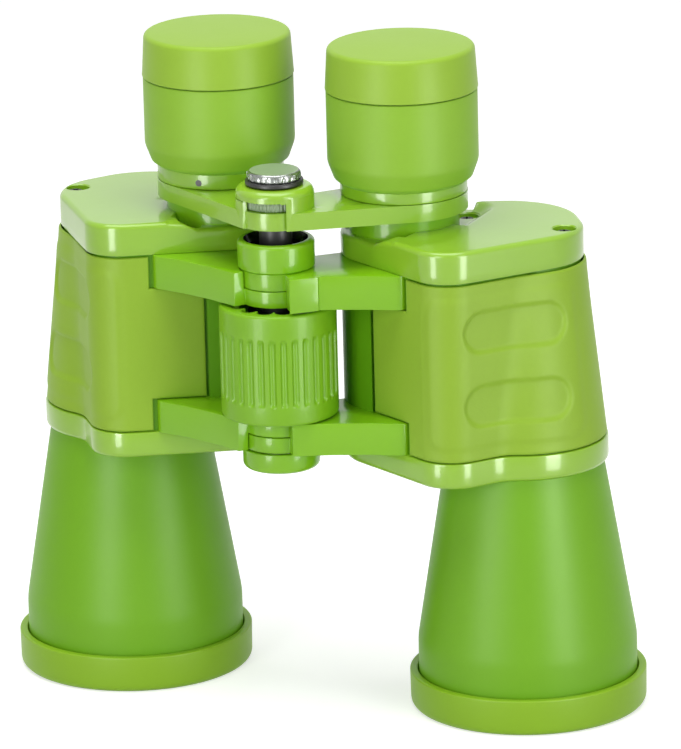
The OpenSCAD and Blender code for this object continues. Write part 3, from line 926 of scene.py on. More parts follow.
        draft = Draft()
        rows = []
        for z in rows_z:
            cone = self.skirt_r - (self.skirt_r - self.shoulder_r) * (z - base) / self.body_h
            row = []
            for p, u in zip(stations, lengths):
                dx, dy = p[0] - centre[0], p[1] - centre[1]
                r = math.hypot(dx, dy)
                far = blend_max(r, cone, 3.0)
                x, y = centre[0] + dx / r * far, centre[1] + dy / r * far
                s = (x - start[0]) * way[0] + (y - start[1]) * way[1]
                d = edge_distance(u, z)
                tuck = lip - math.sqrt(lip * lip - (lip - d) ** 2) if d < lip else 0.0
                out = rise(u, z) - self.panel_rise * 0.9
                sunk = hollow(s, z) if y < centre[1] else 0.0
                x += dx / r * (out - tuck) - normal[0] * sunk
                y += dy / r * (out - tuck) - normal[1] * sunk
                row.append((x, y, z))
            rows.append(draft.row(row))
        for k, (low, high) in enumerate(zip(rows, rows[1:])):
            middle = (rows_z[k] + rows_z[k + 1]) / 2
            cut = middle > arms[1] or middle < arms[0]
            begin = next(i for i, u in enumerate(lengths) if u >= notch - 1e-6) if cut else 0
            draft.band(low[begin:], high[begin:], closed=False)
        piece = draft.build(f"{self.side.name.lower()}_skin", self.side)
        work = bmesh.new()
        work.from_mesh(piece.data)
        bmesh.ops.delete(work, geom=[v for v in work.verts if not v.link_faces], context="VERTS")
        work.to_mesh(piece.data)
        work.free()
        shell = piece.modifiers.new("shell", "SOLIDIFY")
        shell.thickness, shell.offset = (self.skin_t - 0.5) * MM, -1.0
        modified(piece)
        publish(smooth_edges(piece, 50), Finishes.skin, node)

    def _cover_level(self, x: float, y: float, low: float) -> float:
        """Finds the level of the top cover at a place in plan.

        Args:
            x: Place across.
            y: Place to the rear.
            low: Level of the lower part.

        Returns:
            The level.
        """
        if y < self.slope_end:
            way = math.hypot(*self.slope_way)
            ux, uy = self.slope_way[0] / way, self.slope_way[1] / way
            line = ease_in(
                ((x - self.slope_foot[0]) * uy - (y - self.slope_foot[1]) * ux) / self.slope_width
            )
        else:
            wx, wy = self.wells[1][:2]
            dx = max(x - wx, 0.0)
            dy = 0.0 if x < wx else max(y - wy, 0.0)
            pocket = ease_in((math.hypot(dx, dy) - self.well_r - 0.4) / 3.2, 0.25)
            line = max(pocket, 1.0 - ease_in((y - 22.0) / 8.0, 0.3))
        px, py = x - self.fan_pivot[0], y - self.fan_pivot[1]
        fan = 0.0
        if py < -0.5:
            bearing = math.degrees(math.atan2(py, px))
            first, last = self.fan_span
            fan = ease_in((bearing - first) / (last - first), 0.06)
            fan *= ease_in((-0.5 - py) / 2.0, 0.3)
        return low + self.cover_step * max(line, fan)

    def cover(self) -> None:
        """Makes the top cover: rounded rim, slope to the raised part, bore and screw wells."""
        node = self.side.node("top_cover")
        z0, z1 = reach(node)
        low = z1 - self.cover_step
        circles = self.circles(self.objective[2] + 0.5)
        edge = self.cover_edge
        draft = Draft()
        outer = belt(circles, 0.0)
        rim = belt(circles, -edge)
        tops = [self._cover_level(x, y, low) for x, y in rim]
        lip = belt(circles, -0.35)
        rows = [draft.ring(lip, z0), draft.ring(belt(circles, -0.1), z0 + 0.1),
                draft.ring(outer, z0 + 0.35)]
        for k in range(1, 4):
            rows.append(draft.row([(x, y, z0 + 0.35 + (t - edge - z0 - 0.35) * k / 3)
                                   for (x, y), t in zip(outer, tops)]))
        for k in range(1, 8):
            a = math.pi / 2 * k / 7
            ring = belt(circles, edge * (math.cos(a) - 1))
            rows.append(draft.row([(x, y, t - edge + edge * math.sin(a))
                                   for (x, y), t in zip(ring, tops)]))
        centre = (self.eye[0], self.eye[1])
        bore: List[Plan] = []
        for x, y in rim:
            r = math.dist((x, y), centre)
            bore.append((centre[0] + (x - centre[0]) / r * self.cover_bore,
                         centre[1] + (y - centre[1]) / r * self.cover_bore))
        for k in range(1, self.cover_rows + 1):
            t = 1 - (1 - k / self.cover_rows) ** 1.25
            inner = [(x + (bx - x) * t, y + (by - y) * t) for (x, y), (bx, by) in zip(rim, bore)]
            rows.append(draft.row([(x, y, self._cover_level(x, y, low)) for x, y in inner]))
        rows.append(draft.ring(bore, z0))
        for a, b in zip(rows, rows[1:]):
            draft.band(a, b)
        draft.band(rows[-1], rows[0])
        piece = draft.build(f"{self.side.name.lower()}_cover", self.side)
        cutters = []
        for x, y, drop in self.wells:
            floor = low + drop
            top = z1 if x > 60 else low
            wide = self.well_r + self.well_lip
            profile = [(0, floor), (self.well_r, floor), (self.well_r, top - self.well_lip),
                       (wide, top), (wide, z1 + 5), (0, z1 + 5)]
            cutters.append(turn("well", profile, (x, y), self.side, 72))
        carve(piece, cutters)
        publish(smooth_edges(piece, 32), Finishes.cover, node)

    def screws(self) -> None:
        """Makes the three cover screws: low domed heads with a cross slot, on their shanks."""
        node = self.side.node("cover_screws")
        z1 = reach(self.side.node("top_cover"))[1]
        heads = []
        for x, y, drop in self.wells:
            top = z1 - 0.55 if drop == 0 else z1 - self.cover_step - 0.5
            spot = (x + 0.3, y - 0.9) if drop == 0 else (x, y - 0.5)
            r = self.screw_r
            profile = [(0.0, top - 3.4), (1.0, top - 3.4), (1.0, top - 1.4), (r, top - 1.4),
                       (r, top - 0.4), (r - 0.25, top - 0.12), (r - 0.8, top), (0.0, top)]
            head = turn("screw_head", profile, spot, self.side, 48, closed=False)
            slots = []
            for a in (20, 110):
                u, v = unit(math.radians(a)), unit(math.radians(a + 90))
                ends = [(spot[0] + i * 1.2 * u[0] + j * 0.25 * v[0],
                         spot[1] + i * 1.2 * u[1] + j * 0.25 * v[1])
                        for i, j in ((-1, -1), (1, -1), (1, 1), (-1, 1))]
                slots.append(prism("screw_slot", ends, top - 0.6, top + 1, self.side))
            heads.append(carve(head, slots))
        work = bmesh.new()
        for head in heads:
            work.from_mesh(head.data)
        work.to_mesh(heads[0].data)
        work.free()
        heads[0].name = f"{self.side.name.lower()}_screw_heads"
        for head in heads[1:]:
            bpy.data.objects.remove(head)
        publish(smooth_edges(heads[0], 35), Finishes.dark_steel, node)

    def nose(self) -> None:
        """Makes the nose plate: the casing's outline run together with a disc."""
        node = self.side.node("nose_plate")
        z0, z1 = reach(node)
        cx, cy = self.objective[0], self.objective[1]
        loop = belt(self.circles(self.objective[2]))

        def ring(inset: float) -> List[Plan]:
            """Draws the plate's outline.

            Args:
                inset: Distance by which it is drawn in.

            Returns:
                The points of the outline.
            """
            points = []
            for x, y in loop:
                dx, dy = x - cx, y - cy
                r = math.hypot(dx, dy)
                far = blend_max(r, self.skirt_r, 3.5) - inset
                points.append((cx + dx / r * far, cy + dy / r * far))
            return points

        edge = self.cover_edge
        draft = Draft()
        bore = []
        for x, y in loop:
            r = math.hypot(x - cx, y - cy)
            bore.append((cx + (x - cx) / r * self.spigot_r, cy + (y - cy) / r * self.spigot_r))
        rows = [draft.ring(bore, z0)]
        inner = ring(edge)
        for t in (0.75, 0.5, 0.25):
            rows.append(draft.ring([(x + (bx - x) * t, y + (by - y) * t)
                                    for (x, y), (bx, by) in zip(inner, bore)], z0))
        for k in range(8):
            a = math.pi / 2 * k / 7
            rows.append(draft.ring(ring(edge * (1 - math.sin(a))), z0 + edge * (1 - math.cos(a))))
        rows.append(draft.ring(ring(0.0), z1 - 0.5))
        rows.append(draft.ring(ring(0.13), z1 - 0.13))
        rows.append(draft.ring(ring(0.5), z1))
        rows.append(draft.ring(bore, z1))
        for a, b in zip(rows, rows[1:]):
            draft.band(a, b)
        draft.band(rows[-1], rows[0])
        piece = draft.build(f"{self.side.name.lower()}_nose", self.side)
        publish(smooth_edges(piece, 40), Finishes.cover, node)


# ---- Barrel and eyepiece ---------------------------------------------------------


@dataclass
class Objective:
    """Barrel with its lens and ring, and the slip-on cap, of one half."""

    side: Side
    centre: Plan = (59.0, 30.1)
    barrel_r: float = 30.0
    top_r: float = 21.7
    straight: float = 17.0
    spigot_r: float = 18.2
    wall: float = 2.0
    lens_r: float = 26.0
    hood: float = 6.8
    cap_r: float = 32.5
    cap_edge: float = 2.2
    cap_floor: float = 2.0

    def build(self) -> None:
        """Makes and publishes barrel and cap, and dresses what is kept."""
        node = self.side.node("barrel")
        z0, z1 = reach(node)
        nose = reach(self.side.node("nose_plate"))[0]
        knee, lens = z0 + self.straight, z0 + self.hood + 1.6
        seat = lens + 6.3
        profile = eased([
            (self.lens_r + 2, z0, 0.2), (self.barrel_r, z0, 0.6), (self.barrel_r, knee, 22),
            (self.top_r, nose, 0.2), (self.spigot_r, nose, 0), (self.spigot_r, z1, 0),
            (self.spigot_r - self.wall, z1, 0), (self.spigot_r - self.wall, nose - 4, 0),
            (self.barrel_r - self.wall, knee, 0), (self.lens_r - 1.4, knee, 0),
            (self.lens_r - 1.4, seat, 0), (self.lens_r + 0.02, seat, 0),
            (self.lens_r + 0.02, z0 + self.hood, 0)])
        piece = turn(f"{self.side.name.lower()}_barrel_tube", profile, self.centre, self.side, 160)
        publish(smooth_edges(piece), Finishes.barrel, node)
        node = self.side.node("objective_cap")
        z0, z1 = reach(node)
        bore = self.barrel_r + 0.3
        profile = eased([
            (0, z0, 0), (self.cap_r - 0.15, z0, self.cap_edge), (self.cap_r, z1, 0.45),
            (bore, z1, 0.35), (bore, z0 + self.cap_floor, 0.6), (0, z0 + self.cap_floor, 0)])
        piece = turn(f"{self.side.name.lower()}_foot_cap", profile, self.centre, self.side, 160,
                     closed=False)
        publish(smooth_edges(piece), Finishes.foot, node)
        keep(self.side.node("objective_lens"), Finishes.glass)
        keep(self.side.node("objective_ring"), Finishes.black)
        for name in ("upper_prism", "lower_prism"):
            keep(self.side.node(name), Finishes.glass)
        keep(self.side.node("prism_straps"), Finishes.bright_steel)


@dataclass
class Eyepiece:
    """Guide tube, collar, eyecup and ocular cap of one half."""

    side: Side
    centre: Plan = (27.0, 25.8)
    guide_r: float = 15.0
    cell_r: float = 13.1
    collar_r: float = 17.3
    cup_drop: Plan = (0.35, 1.35)
    cup_r: float = 20.55
    neck_r: float = 18.7
    cap_r: float = 20.8
    cap_top_r: float = 20.0
    eye_lens_r: float = 11.0

    def build(self) -> None:
        """Makes and publishes the four pieces, and dresses what is kept."""
        name = self.side.name.lower()
        node = self.side.node("guide_tube")
        z0, z1 = reach(node)
        bore = self.cell_r + 0.05
        profile = eased([(self.guide_r, z0, 0), (self.guide_r, z1, 0.3), (bore, z1, 0.3),
                         (bore, z0, 0)])
        piece = turn(f"{name}_guide", profile, self.centre, self.side)
        publish(smooth_edges(piece), Finishes.paint, node)

        node = "left_eyepiece_sleeve" if self.side is Side.LEFT else "diopter_ring"
        z0, z1 = reach(node)
        cup, top = reach(self.side.node("eyecup"))
        step = cup - 0.8
        z0, cup = z0 - 0.22, cup - self.cup_drop[self.side is Side.RIGHT]
        sleeve, cell = 16.0, self.cell_r + 0.3
        profile = eased([
            (self.guide_r + 0.3, z0, 0.2), (self.collar_r, z0, 0.3), (self.collar_r, cup, 0.2),
            (sleeve, cup, 0), (sleeve, z1, 0.2), (cell, z1, 0.2), (cell, step, 0),
            (self.guide_r + 0.3, step, 0)])
        piece = turn(f"{name}_collar", profile, self.centre, self.side)
        publish(smooth_edges(piece), Finishes.cover, node)

        cap0, cap1 = reach(self.side.node("ocular_cap"))
        edge = cap0 - 0.3
        profile = eased([
            (sleeve + 0.02, cup, 0), (self.collar_r + 0.15, cup, 0.2), (18.9, cup + 1.1, 1.0),
            (self.cup_r, cup + 5.6, 5.5), (self.cup_r, edge, 0.35), (self.neck_r, edge, 0),
            (self.neck_r, top, 1.0), (self.neck_r - 2.4, top, 0.5),
            (self.neck_r - 2.4, z1 + 1.8, 0.4), (self.eye_lens_r + 0.6, z1 + 1.8, 0.4),
            (self.eye_lens_r + 0.6, z1, 0), (sleeve + 0.02, z1, 0)])
        piece = turn(f"{name}_cup", profile, self.centre, self.side)
        publish(smooth_edges(piece), Finishes.cup, self.side.node("eyecup"))

        bore = self.neck_r + 0.3
        profile = eased([
            (bore, cap0, 0.15), (self.cap_r, cap0, 0.22), (self.cap_r - 0.12, cap0 + 0.9, 1.5),
            (self.cap_top_r, cap1, 1.4), (0, cap1, 0)], closed=False, steps=6)
        profile[0] = (bore, cap0)
        profile += [(0.0, cap1 - 2), (bore, cap1 - 2)]
        piece = turn(f"{name}_eye_cap", profile, self.centre, self.side)
        publish(smooth_edges(piece), Finishes.cap, self.side.node("ocular_cap"))
        keep(self.side.node("lens_cell"), Finishes.black)
        keep(self.side.node("eye_lenses"), Finishes.glass)


# ---- Arms ------------------------------------------------------------------------


@dataclass
class Arm:
    """A hinge arm or bridge arm, with softened edges."""

    node: str
    soften: float = 0.28
    sharp: float = 28.0
    end_round: float = 0.0
    bore: Tuple[float, float] = (0.0, 0.0)
    finish: Finish = Finishes.paint

    def build(
        self, cutters: Sequence[bpy.types.Object] = (), bosses: Sequence[bpy.types.Object] = ()
    ) -> None:
        """Copies the solid's shape, works it over, rounds its edges and blackens its bore.

        Args:
            cutters: Solids to cut away.
            bosses: Solids to join on first.
        """
        source = frame["nodes"][self.node]
        mesh = source.data.copy()
        piece = bpy.data.objects.new(self.node + "_soft", mesh)
        bpy.context.scene.collection.objects.link(piece)
        work = bmesh.new()
        work.from_mesh(mesh)
        bmesh.ops.remove_doubles(work, verts=work.verts, dist=0.004 * MM)
        bmesh.ops.dissolve_limit(work, angle_limit=math.radians(0.6), verts=work.verts,
                                 edges=work.edges, delimit=set())
        if self.end_round > 0:
            outer = [
                e for e in work.edges
                if abs(e.verts[0].co.z - e.verts[1].co.z) > 4 * MM
                and (e.verts[0].co - e.verts[1].co).xy.length < 0.05 * MM
                and abs(e.verts[0].co.x) > 30 * MM
            ]
            end = min(outer, key=lambda e: e.verts[0].co.y)
            bmesh.ops.bevel(work, geom=[end], offset=self.end_round * MM, segments=6, profile=0.5,
                            affect="EDGES")
        work.to_mesh(mesh)
        work.free()
        if bosses:
            carve(piece, bosses, "UNION")
        if cutters:
            carve(piece, cutters)
        soft = piece.modifiers.new("soft", "BEVEL")
        soft.width, soft.segments = self.soften * MM, 3
        soft.limit_method, soft.angle_limit = "ANGLE", math.radians(self.sharp)
        soft.use_clamp_overlap = True
        modified(piece)
        publish(smooth_edges(piece, 38), self.finish, self.node)
        if self.bore[0] > 0:
            piece.data.materials.append(Finishes.bore.material())
            verts = piece.data.vertices
            for face in piece.data.polygons:
                far = [math.hypot(verts[i].co.x, verts[i].co.y - HINGE_Y * MM) / MM
                       for i in face.vertices]
                if sum(far) / len(far) < self.bore[0] and face.center.z / MM > self.bore[1]:
                    face.material_index = 1


# ---- Focusing --------------------------------------------------------------------


@dataclass
class FocusWheel:
    """Fluted wheel with a scalloped crown."""

    node: str = "focus_wheel"
    r: float = 15.95
    nut_r: float = 8.02
    knuckle_r: float = 9.9
    flutes: int = 32
    flute_len: float = 19.6
    flute_levels: Tuple[float, ...] = (-0.02, 0, 0.015, 0.04, 0.07, 0.11, 0.16, 0.3, 0.5, 0.7,
                                       0.84, 0.89, 0.93, 0.96, 0.985, 1, 1.02)
    flute_drop: float = 0.9
    rim_drop: float = 0.45
    flute_r: float = 0.98
    flute_at: float = 16.22
    scallops: int = 14
    scallop_turn: float = 7.8
    scallop_r: float = 2.2
    scallop_at: float = 11.0
    crown: float = 2.4

    def build(self) -> None:
        """Makes and publishes the wheel, and dresses the nut."""
        z0, z1 = reach(self.node)
        middle, half = (z0 + z1) / 2 - self.flute_drop, self.flute_len / 2
        z1 -= self.rim_drop
        outer = self.r
        inner = self.knuckle_r + 0.6
        levels = [middle - half + self.flute_len * t for t in self.flute_levels]
        profile = eased([(self.nut_r, z0 + 3, 0), (self.knuckle_r, z0 + 3, 0),
                         (self.knuckle_r, z0, 0.3), (outer, z0, 0.9)], closed=False, steps=5)
        profile[-1:] = [(outer - 0.9 + 0.9 * math.sin(a), z0 + 0.9 - 0.9 * math.cos(a))
                        for a in [math.pi / 2 * k / 6 for k in range(7)]]
        profile += [(outer, z) for z in levels]
        profile += [(outer - 0.9 + 0.9 * math.cos(a), z1 - 0.9 + 0.9 * math.sin(a))
                    for a in [math.pi / 2 * k / 6 for k in range(7)]]
        profile += [(inner + 0.25, z1), (inner + 0.07, z1 - 0.07), (inner, z1 - 0.25),
                    (inner, z1 - self.crown), (self.nut_r, z1 - self.crown)]

        def shape(r: float, z: float, angle: float) -> float:
            """Cuts the flutes into the outer wall and the scallops into the crown.

            Args:
                r: Radius of the plain profile.
                z: Level.
                angle: Bearing in radians.

            Returns:
                The radius that is left.
            """
            if r > outer - 0.01 and middle - half <= z <= middle + half:
                pitch = 2 * math.pi / self.flutes
                off = (angle % pitch) - pitch / 2
                end = min(z - (middle - half), middle + half - z)
                tool = self.flute_r * min(1.0, 0.35 + end / 1.6)
                sunk = self.flute_at + (self.flute_r - tool) * 0.75
                x = outer * math.sin(off)
                if abs(x) < tool:
                    return min(r, sunk - math.sqrt(tool * tool - x * x))
            if z > z1 - self.crown - 0.01 and r < inner + 0.3 and r > self.nut_r + 0.5:
                pitch = 2 * math.pi / self.scallops
                off = ((angle + math.radians(self.scallop_turn) + pitch / 2) % pitch) - pitch / 2
                x = self.scallop_at * math.sin(off)
                if abs(x) < self.scallop_r:
                    bite = self.scallop_at * math.cos(off) + math.sqrt(self.scallop_r ** 2 - x * x)
                    return max(r, bite + (r - inner))
            return r

        piece = turn(self.node + "_fluted", profile, steps=self.flutes * 16, shape=shape)
        publish(smooth_edges(piece, 40), Finishes.wheel, self.node)
        keep("focus_nut", Finishes.dark_steel)


@dataclass
class Hub:
    """Shaft, knurled ring, black ring and scale dial on the hinge axis."""

    shaft_r: float = 4.5
    spacer_r: float = 8.6
    base_r: float = 7.9
    dial_r: float = 7.3
    knurls: int = 54
    facets: int = 20
    digits: str = "0123456789"

    def build(self) -> None:
        """Makes and publishes the pieces on the focus shaft."""
        z0, z1 = reach("focus_shaft")
        profile = [(0.0, z0), (self.shaft_r - 0.4, z0), (self.shaft_r, z0 + 0.4)]
        z = z0 + 4
        while z < z0 + 24:
            profile += [(self.shaft_r, z), (self.shaft_r - 0.35, z + 0.35), (self.shaft_r, z + 0.7)]
            z += 1.4
        profile += [(self.shaft_r, z1), (0.0, z1)]
        piece = turn("focus_rod", profile, closed=False)
        publish(smooth_edges(piece), Finishes.black, "focus_shaft")

        z0, z1 = reach("hub_spacer")
        z0, z1 = z0 + 0.2, z1 - 0.2
        bore = self.shaft_r + 0.02
        r = self.spacer_r
        profile = [(bore, z0), (r - 0.25, z0), (r, z0 + 0.25), (r, (z0 + z1) / 2), (r, z1 - 0.25),
                   (r - 0.25, z1), (bore, z1)]
        piece = turn("hub_knurled_ring", profile, steps=self.knurls * 8,
                     shape=self.grooves(self.knurls, 0.3, r))
        publish(smooth_edges(piece, 60), Finishes.dial_face, "hub_spacer")

        z0, z1 = reach("dial_base")
        profile = eased([(bore, z0, 0), (self.base_r, z0, 0.3), (self.base_r, z1, 0.35),
                         (bore, z1, 0)])
        publish(smooth_edges(turn("dial_black_ring", profile)), Finishes.black, "dial_base")
        self.dial()

    @staticmethod
    def grooves(count: int, deep: float, at: float) -> Callable[[float, float, float], float]:
        """Draws upright grooves.

        Args:
            count: Grooves all round.
            deep: Their depth.
            at: Radius of the wall that they are in.

        Returns:
            A shape for turn.
        """

        def shape(r: float, z: float, angle: float) -> float:
            """Returns the grooved radius."""
            groove = deep * (0.5 - 0.5 * math.cos(angle * count)) ** 2
            return r if abs(r - at) > 0.02 else r - groove

        return shape

    def dial(self) -> None:
        """Makes the dial: knurled silver rim, frosted face and plain digits."""
        z0, z1 = reach("scale_dial")
        r = self.dial_r
        face = r - 0.75
        profile = [(0.0, z0), (r - 0.35, z0), (r, z0 + 0.3), (r, z0 + 0.9), (r, z1 - 1.0),
                   (r - 0.05, z1 - 0.75), (r - 0.3, z1 - 0.3), (r - 0.5, z1 - 0.1),
                   (face, z1 - 0.03), (face - 0.4, z1), (0.0, z1)]
        piece = turn("dial_knurled", profile, steps=240,
                     shape=self.grooves(self.facets, 0.22, r), closed=False)
        publish(smooth_edges(piece, 50), Finishes.dial_rim, "scale_dial")
        piece.data.materials.append(Finishes.dial_face.material())
        for polygon in piece.data.polygons:
            away = math.hypot(polygon.center.x, polygon.center.y - HINGE_Y * MM) / MM
            if away < face and polygon.center.z > (z1 - 0.5) * MM:
                polygon.material_index = 1
        body = NODE_BODY["scale_dial"]
        for k, digit in enumerate(self.digits):
            angle = 2 * math.pi * k / len(self.digits) - math.pi / 2
            curve = bpy.data.curves.new(f"dial_digit_{digit}", "FONT")
            curve.body, curve.size = digit, 2.0 * MM
            curve.align_x, curve.align_y = "CENTER", "CENTER"
            curve.extrude = 0.06 * MM
            maker = bpy.data.objects.new(f"digit_maker_{digit}", curve)
            bpy.context.scene.collection.objects.link(maker)
            graph = bpy.context.evaluated_depsgraph_get()
            mesh = bpy.data.meshes.new_from_object(maker.evaluated_get(graph))
            bpy.data.objects.remove(maker)
            lean = Matrix.Rotation(math.pi / 2, 4, "X")
            spin = Matrix.Rotation(angle + math.pi / 2, 4, "Z")
            away = r - 0.02
            spot = Matrix.Translation((away * math.cos(angle) * MM,
                                       (HINGE_Y + away * math.sin(angle)) * MM,
                                       (z0 + 1.2) * MM))
            mesh.transform(spot @ spin @ lean)
            mark = bpy.data.objects.new(f"dial_digit_{digit}", mesh)
            bpy.context.scene.collection.objects.link(mark)
            dress(mark, Finishes.digit)
            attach(mark, body)
            log.info("%s: rides on %s", mark.name, body)


@dataclass
class TripodCap:
    """Screw cup over the tripod socket."""

    node: str = "tripod_cap"
    r: float = 10.5
    bore: float = 8.75
    edge: float = 1.6

    def build(self) -> None:
        """Makes and publishes the cup."""
        z0, z1 = reach(self.node)
        floor = z1 - 2.1
        profile = eased([(0, z0, 0), (self.r, z0, self.edge), (self.r, z1, 0.3),
                         (self.bore, z1, 0.2), (self.bore, floor, 0), (0, floor, 0)], closed=False)
        piece = turn(self.node + "_cup", profile, closed=False)
        publish(smooth_edges(piece), Finishes.paint, self.node)


def dress_arms() -> None:
    """Works over the six arms of the hinge and the bridge."""
    for node in ("left_upper_arm", "left_lower_arm", "right_lower_arm"):
        Arm(node, end_round=1.7).build()
    z0, z1 = reach("left_upper_arm")
    tube_top = reach("right_upper_arm")[1]
    mouth = turn("tube_mouth", [(7.0, tube_top - 2.2), (7.72, tube_top - 2.2),
                                (8.75, tube_top - 0.25), (8.95, tube_top + 1),
                                (7.0, tube_top + 1)])
    boss = prism("arm_boss", [(8.9, -8.5), (9.0, -12.6), (9.25, -12.9), (9.5, -12.75), (15.3, -7.7),
                              (15.3, -6.5)], z0, z1)
    Arm("right_upper_arm", end_round=1.7, bore=(8.8, z1 + 1.3)).build([mouth], [boss])

    bridge_top = reach("hub_spacer")[0]
    z0, z1 = reach("right_bridge_arm")
    hub_r, wide, tall = 10.6, 2.1, 1.9

    def trim() -> bpy.types.Object:
        """Returns the ring outside the hub, which trims the arms' corners."""
        r, z = 10.75, bridge_top
        return turn("hub_trim", [(r, z), (r + 6, z), (r + 6, z + 9), (r, z + 9)])

    curve = [(hub_r - wide + wide * math.sin(a), z1 - tall + tall * math.cos(a))
             for a in [math.pi / 2 * k / 8 for k in range(9)]]
    inner = curve[0][0] - 0.3
    shoulder = turn("hub_shoulder", [(hub_r + 4, z1 - tall), (hub_r + 4, z1 + 1),
                                     (inner, z1 + 1), (inner, z1)] + curve)
    step = prism("leg_step", [(3.6, -13.0), (6.75, -13.0), (6.75, -5.0), (3.6, -5.0)], z0 - 1,
                 reach("hub_spacer")[1])
    Arm("left_bridge_arm", finish=Finishes.cover).build([trim()])
    Arm("right_bridge_arm", finish=Finishes.cover).build([trim(), shoulder, step])


def dress_hardware() -> None:
    """Dresses the screws, axle, nut and pin, which keep their solids."""
    keep("left_collar_screw", Finishes.black)
    keep("hinge_axle", Finishes.bright_steel)
    keep("hinge_pin", Finishes.bright_steel)
    keep("axle_nut", Finishes.black)


# ---- Studio ----------------------------------------------------------------------


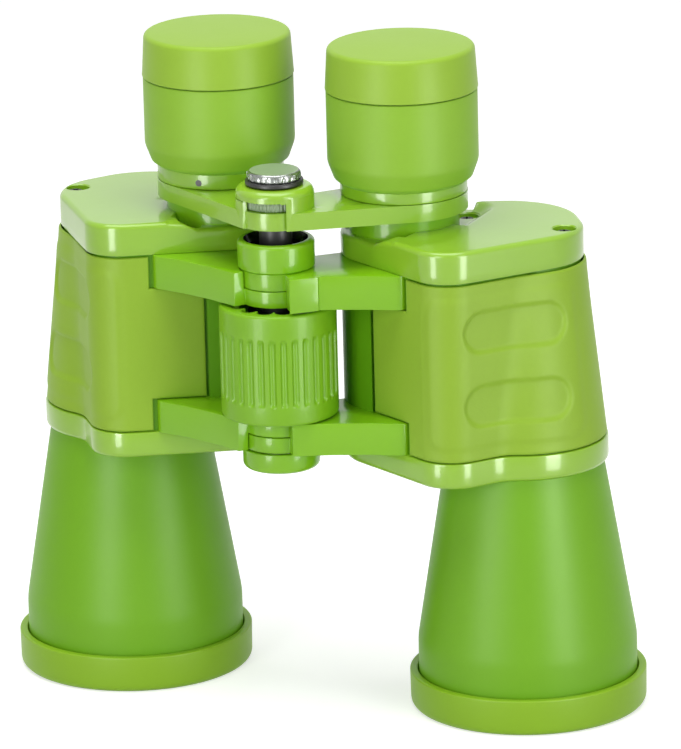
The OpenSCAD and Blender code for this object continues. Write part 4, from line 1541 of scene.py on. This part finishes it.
@dataclass
class Studio:
    """Pale floor, soft lamps, white surroundings and the camera."""

    azimuth: float = 23.02
    elevation: float = 16.20
    roll: float = -1.46
    distance: float = 2078.84
    lens: float = 368.65
    aim_x: float = 16.53
    aim_z: float = 95.68
    floor_half: float = 6.0
    floor_lift: float = 0.6
    fill: float = 0.1
    strip_away: float = 0.3
    strip_z: float = 0.085

    def build(self) -> None:
        """Sets up everything round the object."""
        self.camera()
        self.floor()
        self.world()
        aim = (0.0, 0.0, 0.1)
        self.lamp("overhead_softbox", (0.0, -0.12, 1.4), aim, 1.3, 1.0, 16.5)
        self.lamp("front_right_softbox", (1.05, -0.55, 0.42), aim, 0.45, 0.8, 4.4)
        self.lamp("front_softbox", (-0.15, -1.2, 0.45), aim, 0.4, 0.8, 5.2)
        for name, bearing in (("left_strip", -14.0), ("right_strip", 66.0)):
            way = math.radians(bearing)
            spot = (self.strip_away * math.sin(way), -self.strip_away * math.cos(way), self.strip_z)
            strip = self.lamp(name, spot, (0.0, 0.0, self.strip_z), 0.085, 0.16, 0.38)
            strip.visible_diffuse = False

    def camera(self) -> None:
        """Places the camera."""
        az, el, roll = (math.radians(v) for v in (self.azimuth, self.elevation, self.roll))
        back = Vector((math.sin(az) * math.cos(el), -math.cos(az) * math.cos(el), math.sin(el)))
        right = Vector((math.cos(az), math.sin(az), 0.0))
        up = back.cross(right)
        tilted_right = right * math.cos(roll) + up * math.sin(roll)
        tilted_up = up * math.cos(roll) - right * math.sin(roll)
        aim = Vector((0.0, HINGE_Y, self.aim_z)) + right * self.aim_x
        spot = (aim + back * self.distance) * MM
        turned = Matrix((tilted_right, tilted_up, back)).transposed().to_4x4()
        data = bpy.data.cameras.new("camera")
        data.lens, data.sensor_width, data.sensor_fit = self.lens, 36.0, "AUTO"
        data.clip_start, data.clip_end = 0.05, 50.0
        camera = bpy.data.objects.new("camera", data)
        camera.matrix_world = Matrix.Translation(spot) @ turned
        bpy.context.scene.collection.objects.link(camera)
        bpy.context.scene.camera = camera

    def floor(self) -> None:
        """Lays the floor, which reads white and keeps the object's shadow."""
        mesh = bpy.data.meshes.new("floor")
        half = self.floor_half
        corners = [(-half, -half, 0), (half, -half, 0), (half, half, 0), (-half, half, 0)]
        mesh.from_pydata(corners, [], [(0, 1, 2, 3)])
        floor = bpy.data.objects.new("floor", mesh)
        bpy.context.scene.collection.objects.link(floor)
        made = bpy.data.materials.new("pale_floor")
        made.use_nodes = True
        tree = made.node_tree
        shader = tree.nodes["Principled BSDF"]
        shader.inputs["Base Color"].default_value = (0.7, 0.7, 0.7, 1)
        shader.inputs["Roughness"].default_value = 0.9
        seen = self._seen(tree)
        lift = tree.nodes.new("ShaderNodeEmission")
        tree.links.new(maths(tree, "MULTIPLY", seen, self.floor_lift), lift.inputs["Strength"])
        both = tree.nodes.new("ShaderNodeAddShader")
        tree.links.new(shader.outputs[0], both.inputs[0])
        tree.links.new(lift.outputs[0], both.inputs[1])
        tree.links.new(both.outputs[0], tree.nodes["Material Output"].inputs["Surface"])
        mesh.materials.append(made)

    @staticmethod
    def _seen(tree: bpy.types.NodeTree) -> bpy.types.NodeSocket:
        """Tells the rays that look at the surroundings from those that light the object.

        Args:
            tree: Nodes of a material or the world.

        Returns:
            1 for camera, glossy and transmission rays, and 0 for the rest.
        """
        path = tree.nodes.new("ShaderNodeLightPath")
        total = path.outputs["Is Camera Ray"]
        for label in ("Is Glossy Ray", "Is Transmission Ray"):
            total = maths(tree, "MAXIMUM", total, path.outputs[label])
        return total

    def world(self) -> None:
        """Makes the surroundings: white where they are seen, a soft fill elsewhere."""
        world = bpy.data.worlds.new("surroundings")
        bpy.context.scene.world = world
        world.use_nodes = True
        tree = world.node_tree
        tree.nodes.clear()
        output = tree.nodes.new("ShaderNodeOutputWorld")
        fill = tree.nodes.new("ShaderNodeBackground")
        fill.inputs["Strength"].default_value = self.fill
        white = tree.nodes.new("ShaderNodeBackground")
        white.inputs["Color"].default_value = (1, 1, 1, 1)
        fill.inputs["Color"].default_value = (1, 1, 1, 1)
        mix = tree.nodes.new("ShaderNodeMixShader")
        tree.links.new(self._seen(tree), mix.inputs[0])
        tree.links.new(fill.outputs[0], mix.inputs[1])
        tree.links.new(white.outputs[0], mix.inputs[2])
        tree.links.new(mix.outputs[0], output.inputs["Surface"])

    def lamp(
        self, name: str, spot: Corner, aim: Corner, wide: float, tall: float, power: float
    ) -> bpy.types.Object:
        """Hangs a rectangular softbox.

        Args:
            name: Name of the lamp.
            spot: Place in metres.
            aim: Point that it faces.
            wide: Width in metres.
            tall: Height in metres.
            power: Power in watts.

        Returns:
            The lamp.
        """
        data = bpy.data.lights.new(name, "AREA")
        data.shape, data.size, data.size_y, data.energy = "RECTANGLE", wide, tall, power
        lamp = bpy.data.objects.new(name, data)
        lamp.location = spot
        lamp.rotation_euler = (Vector(aim) - Vector(spot)).to_track_quat("-Z", "Y").to_euler()
        bpy.context.scene.collection.objects.link(lamp)
        return lamp


def main() -> None:
    """Builds every sub-assembly in order, then the studio."""
    logging.basicConfig(level=logging.INFO, format="%(message)s")
    for side in Side:
        Casing(side).build()
        Objective(side).build()
        Eyepiece(side).build()
    dress_arms()
    FocusWheel().build()
    Hub().build()
    TripodCap().build()
    dress_hardware()
    Studio().build()
    bpy.context.scene.view_settings.view_transform = "Standard"


if __name__ == "__main__":
    main()
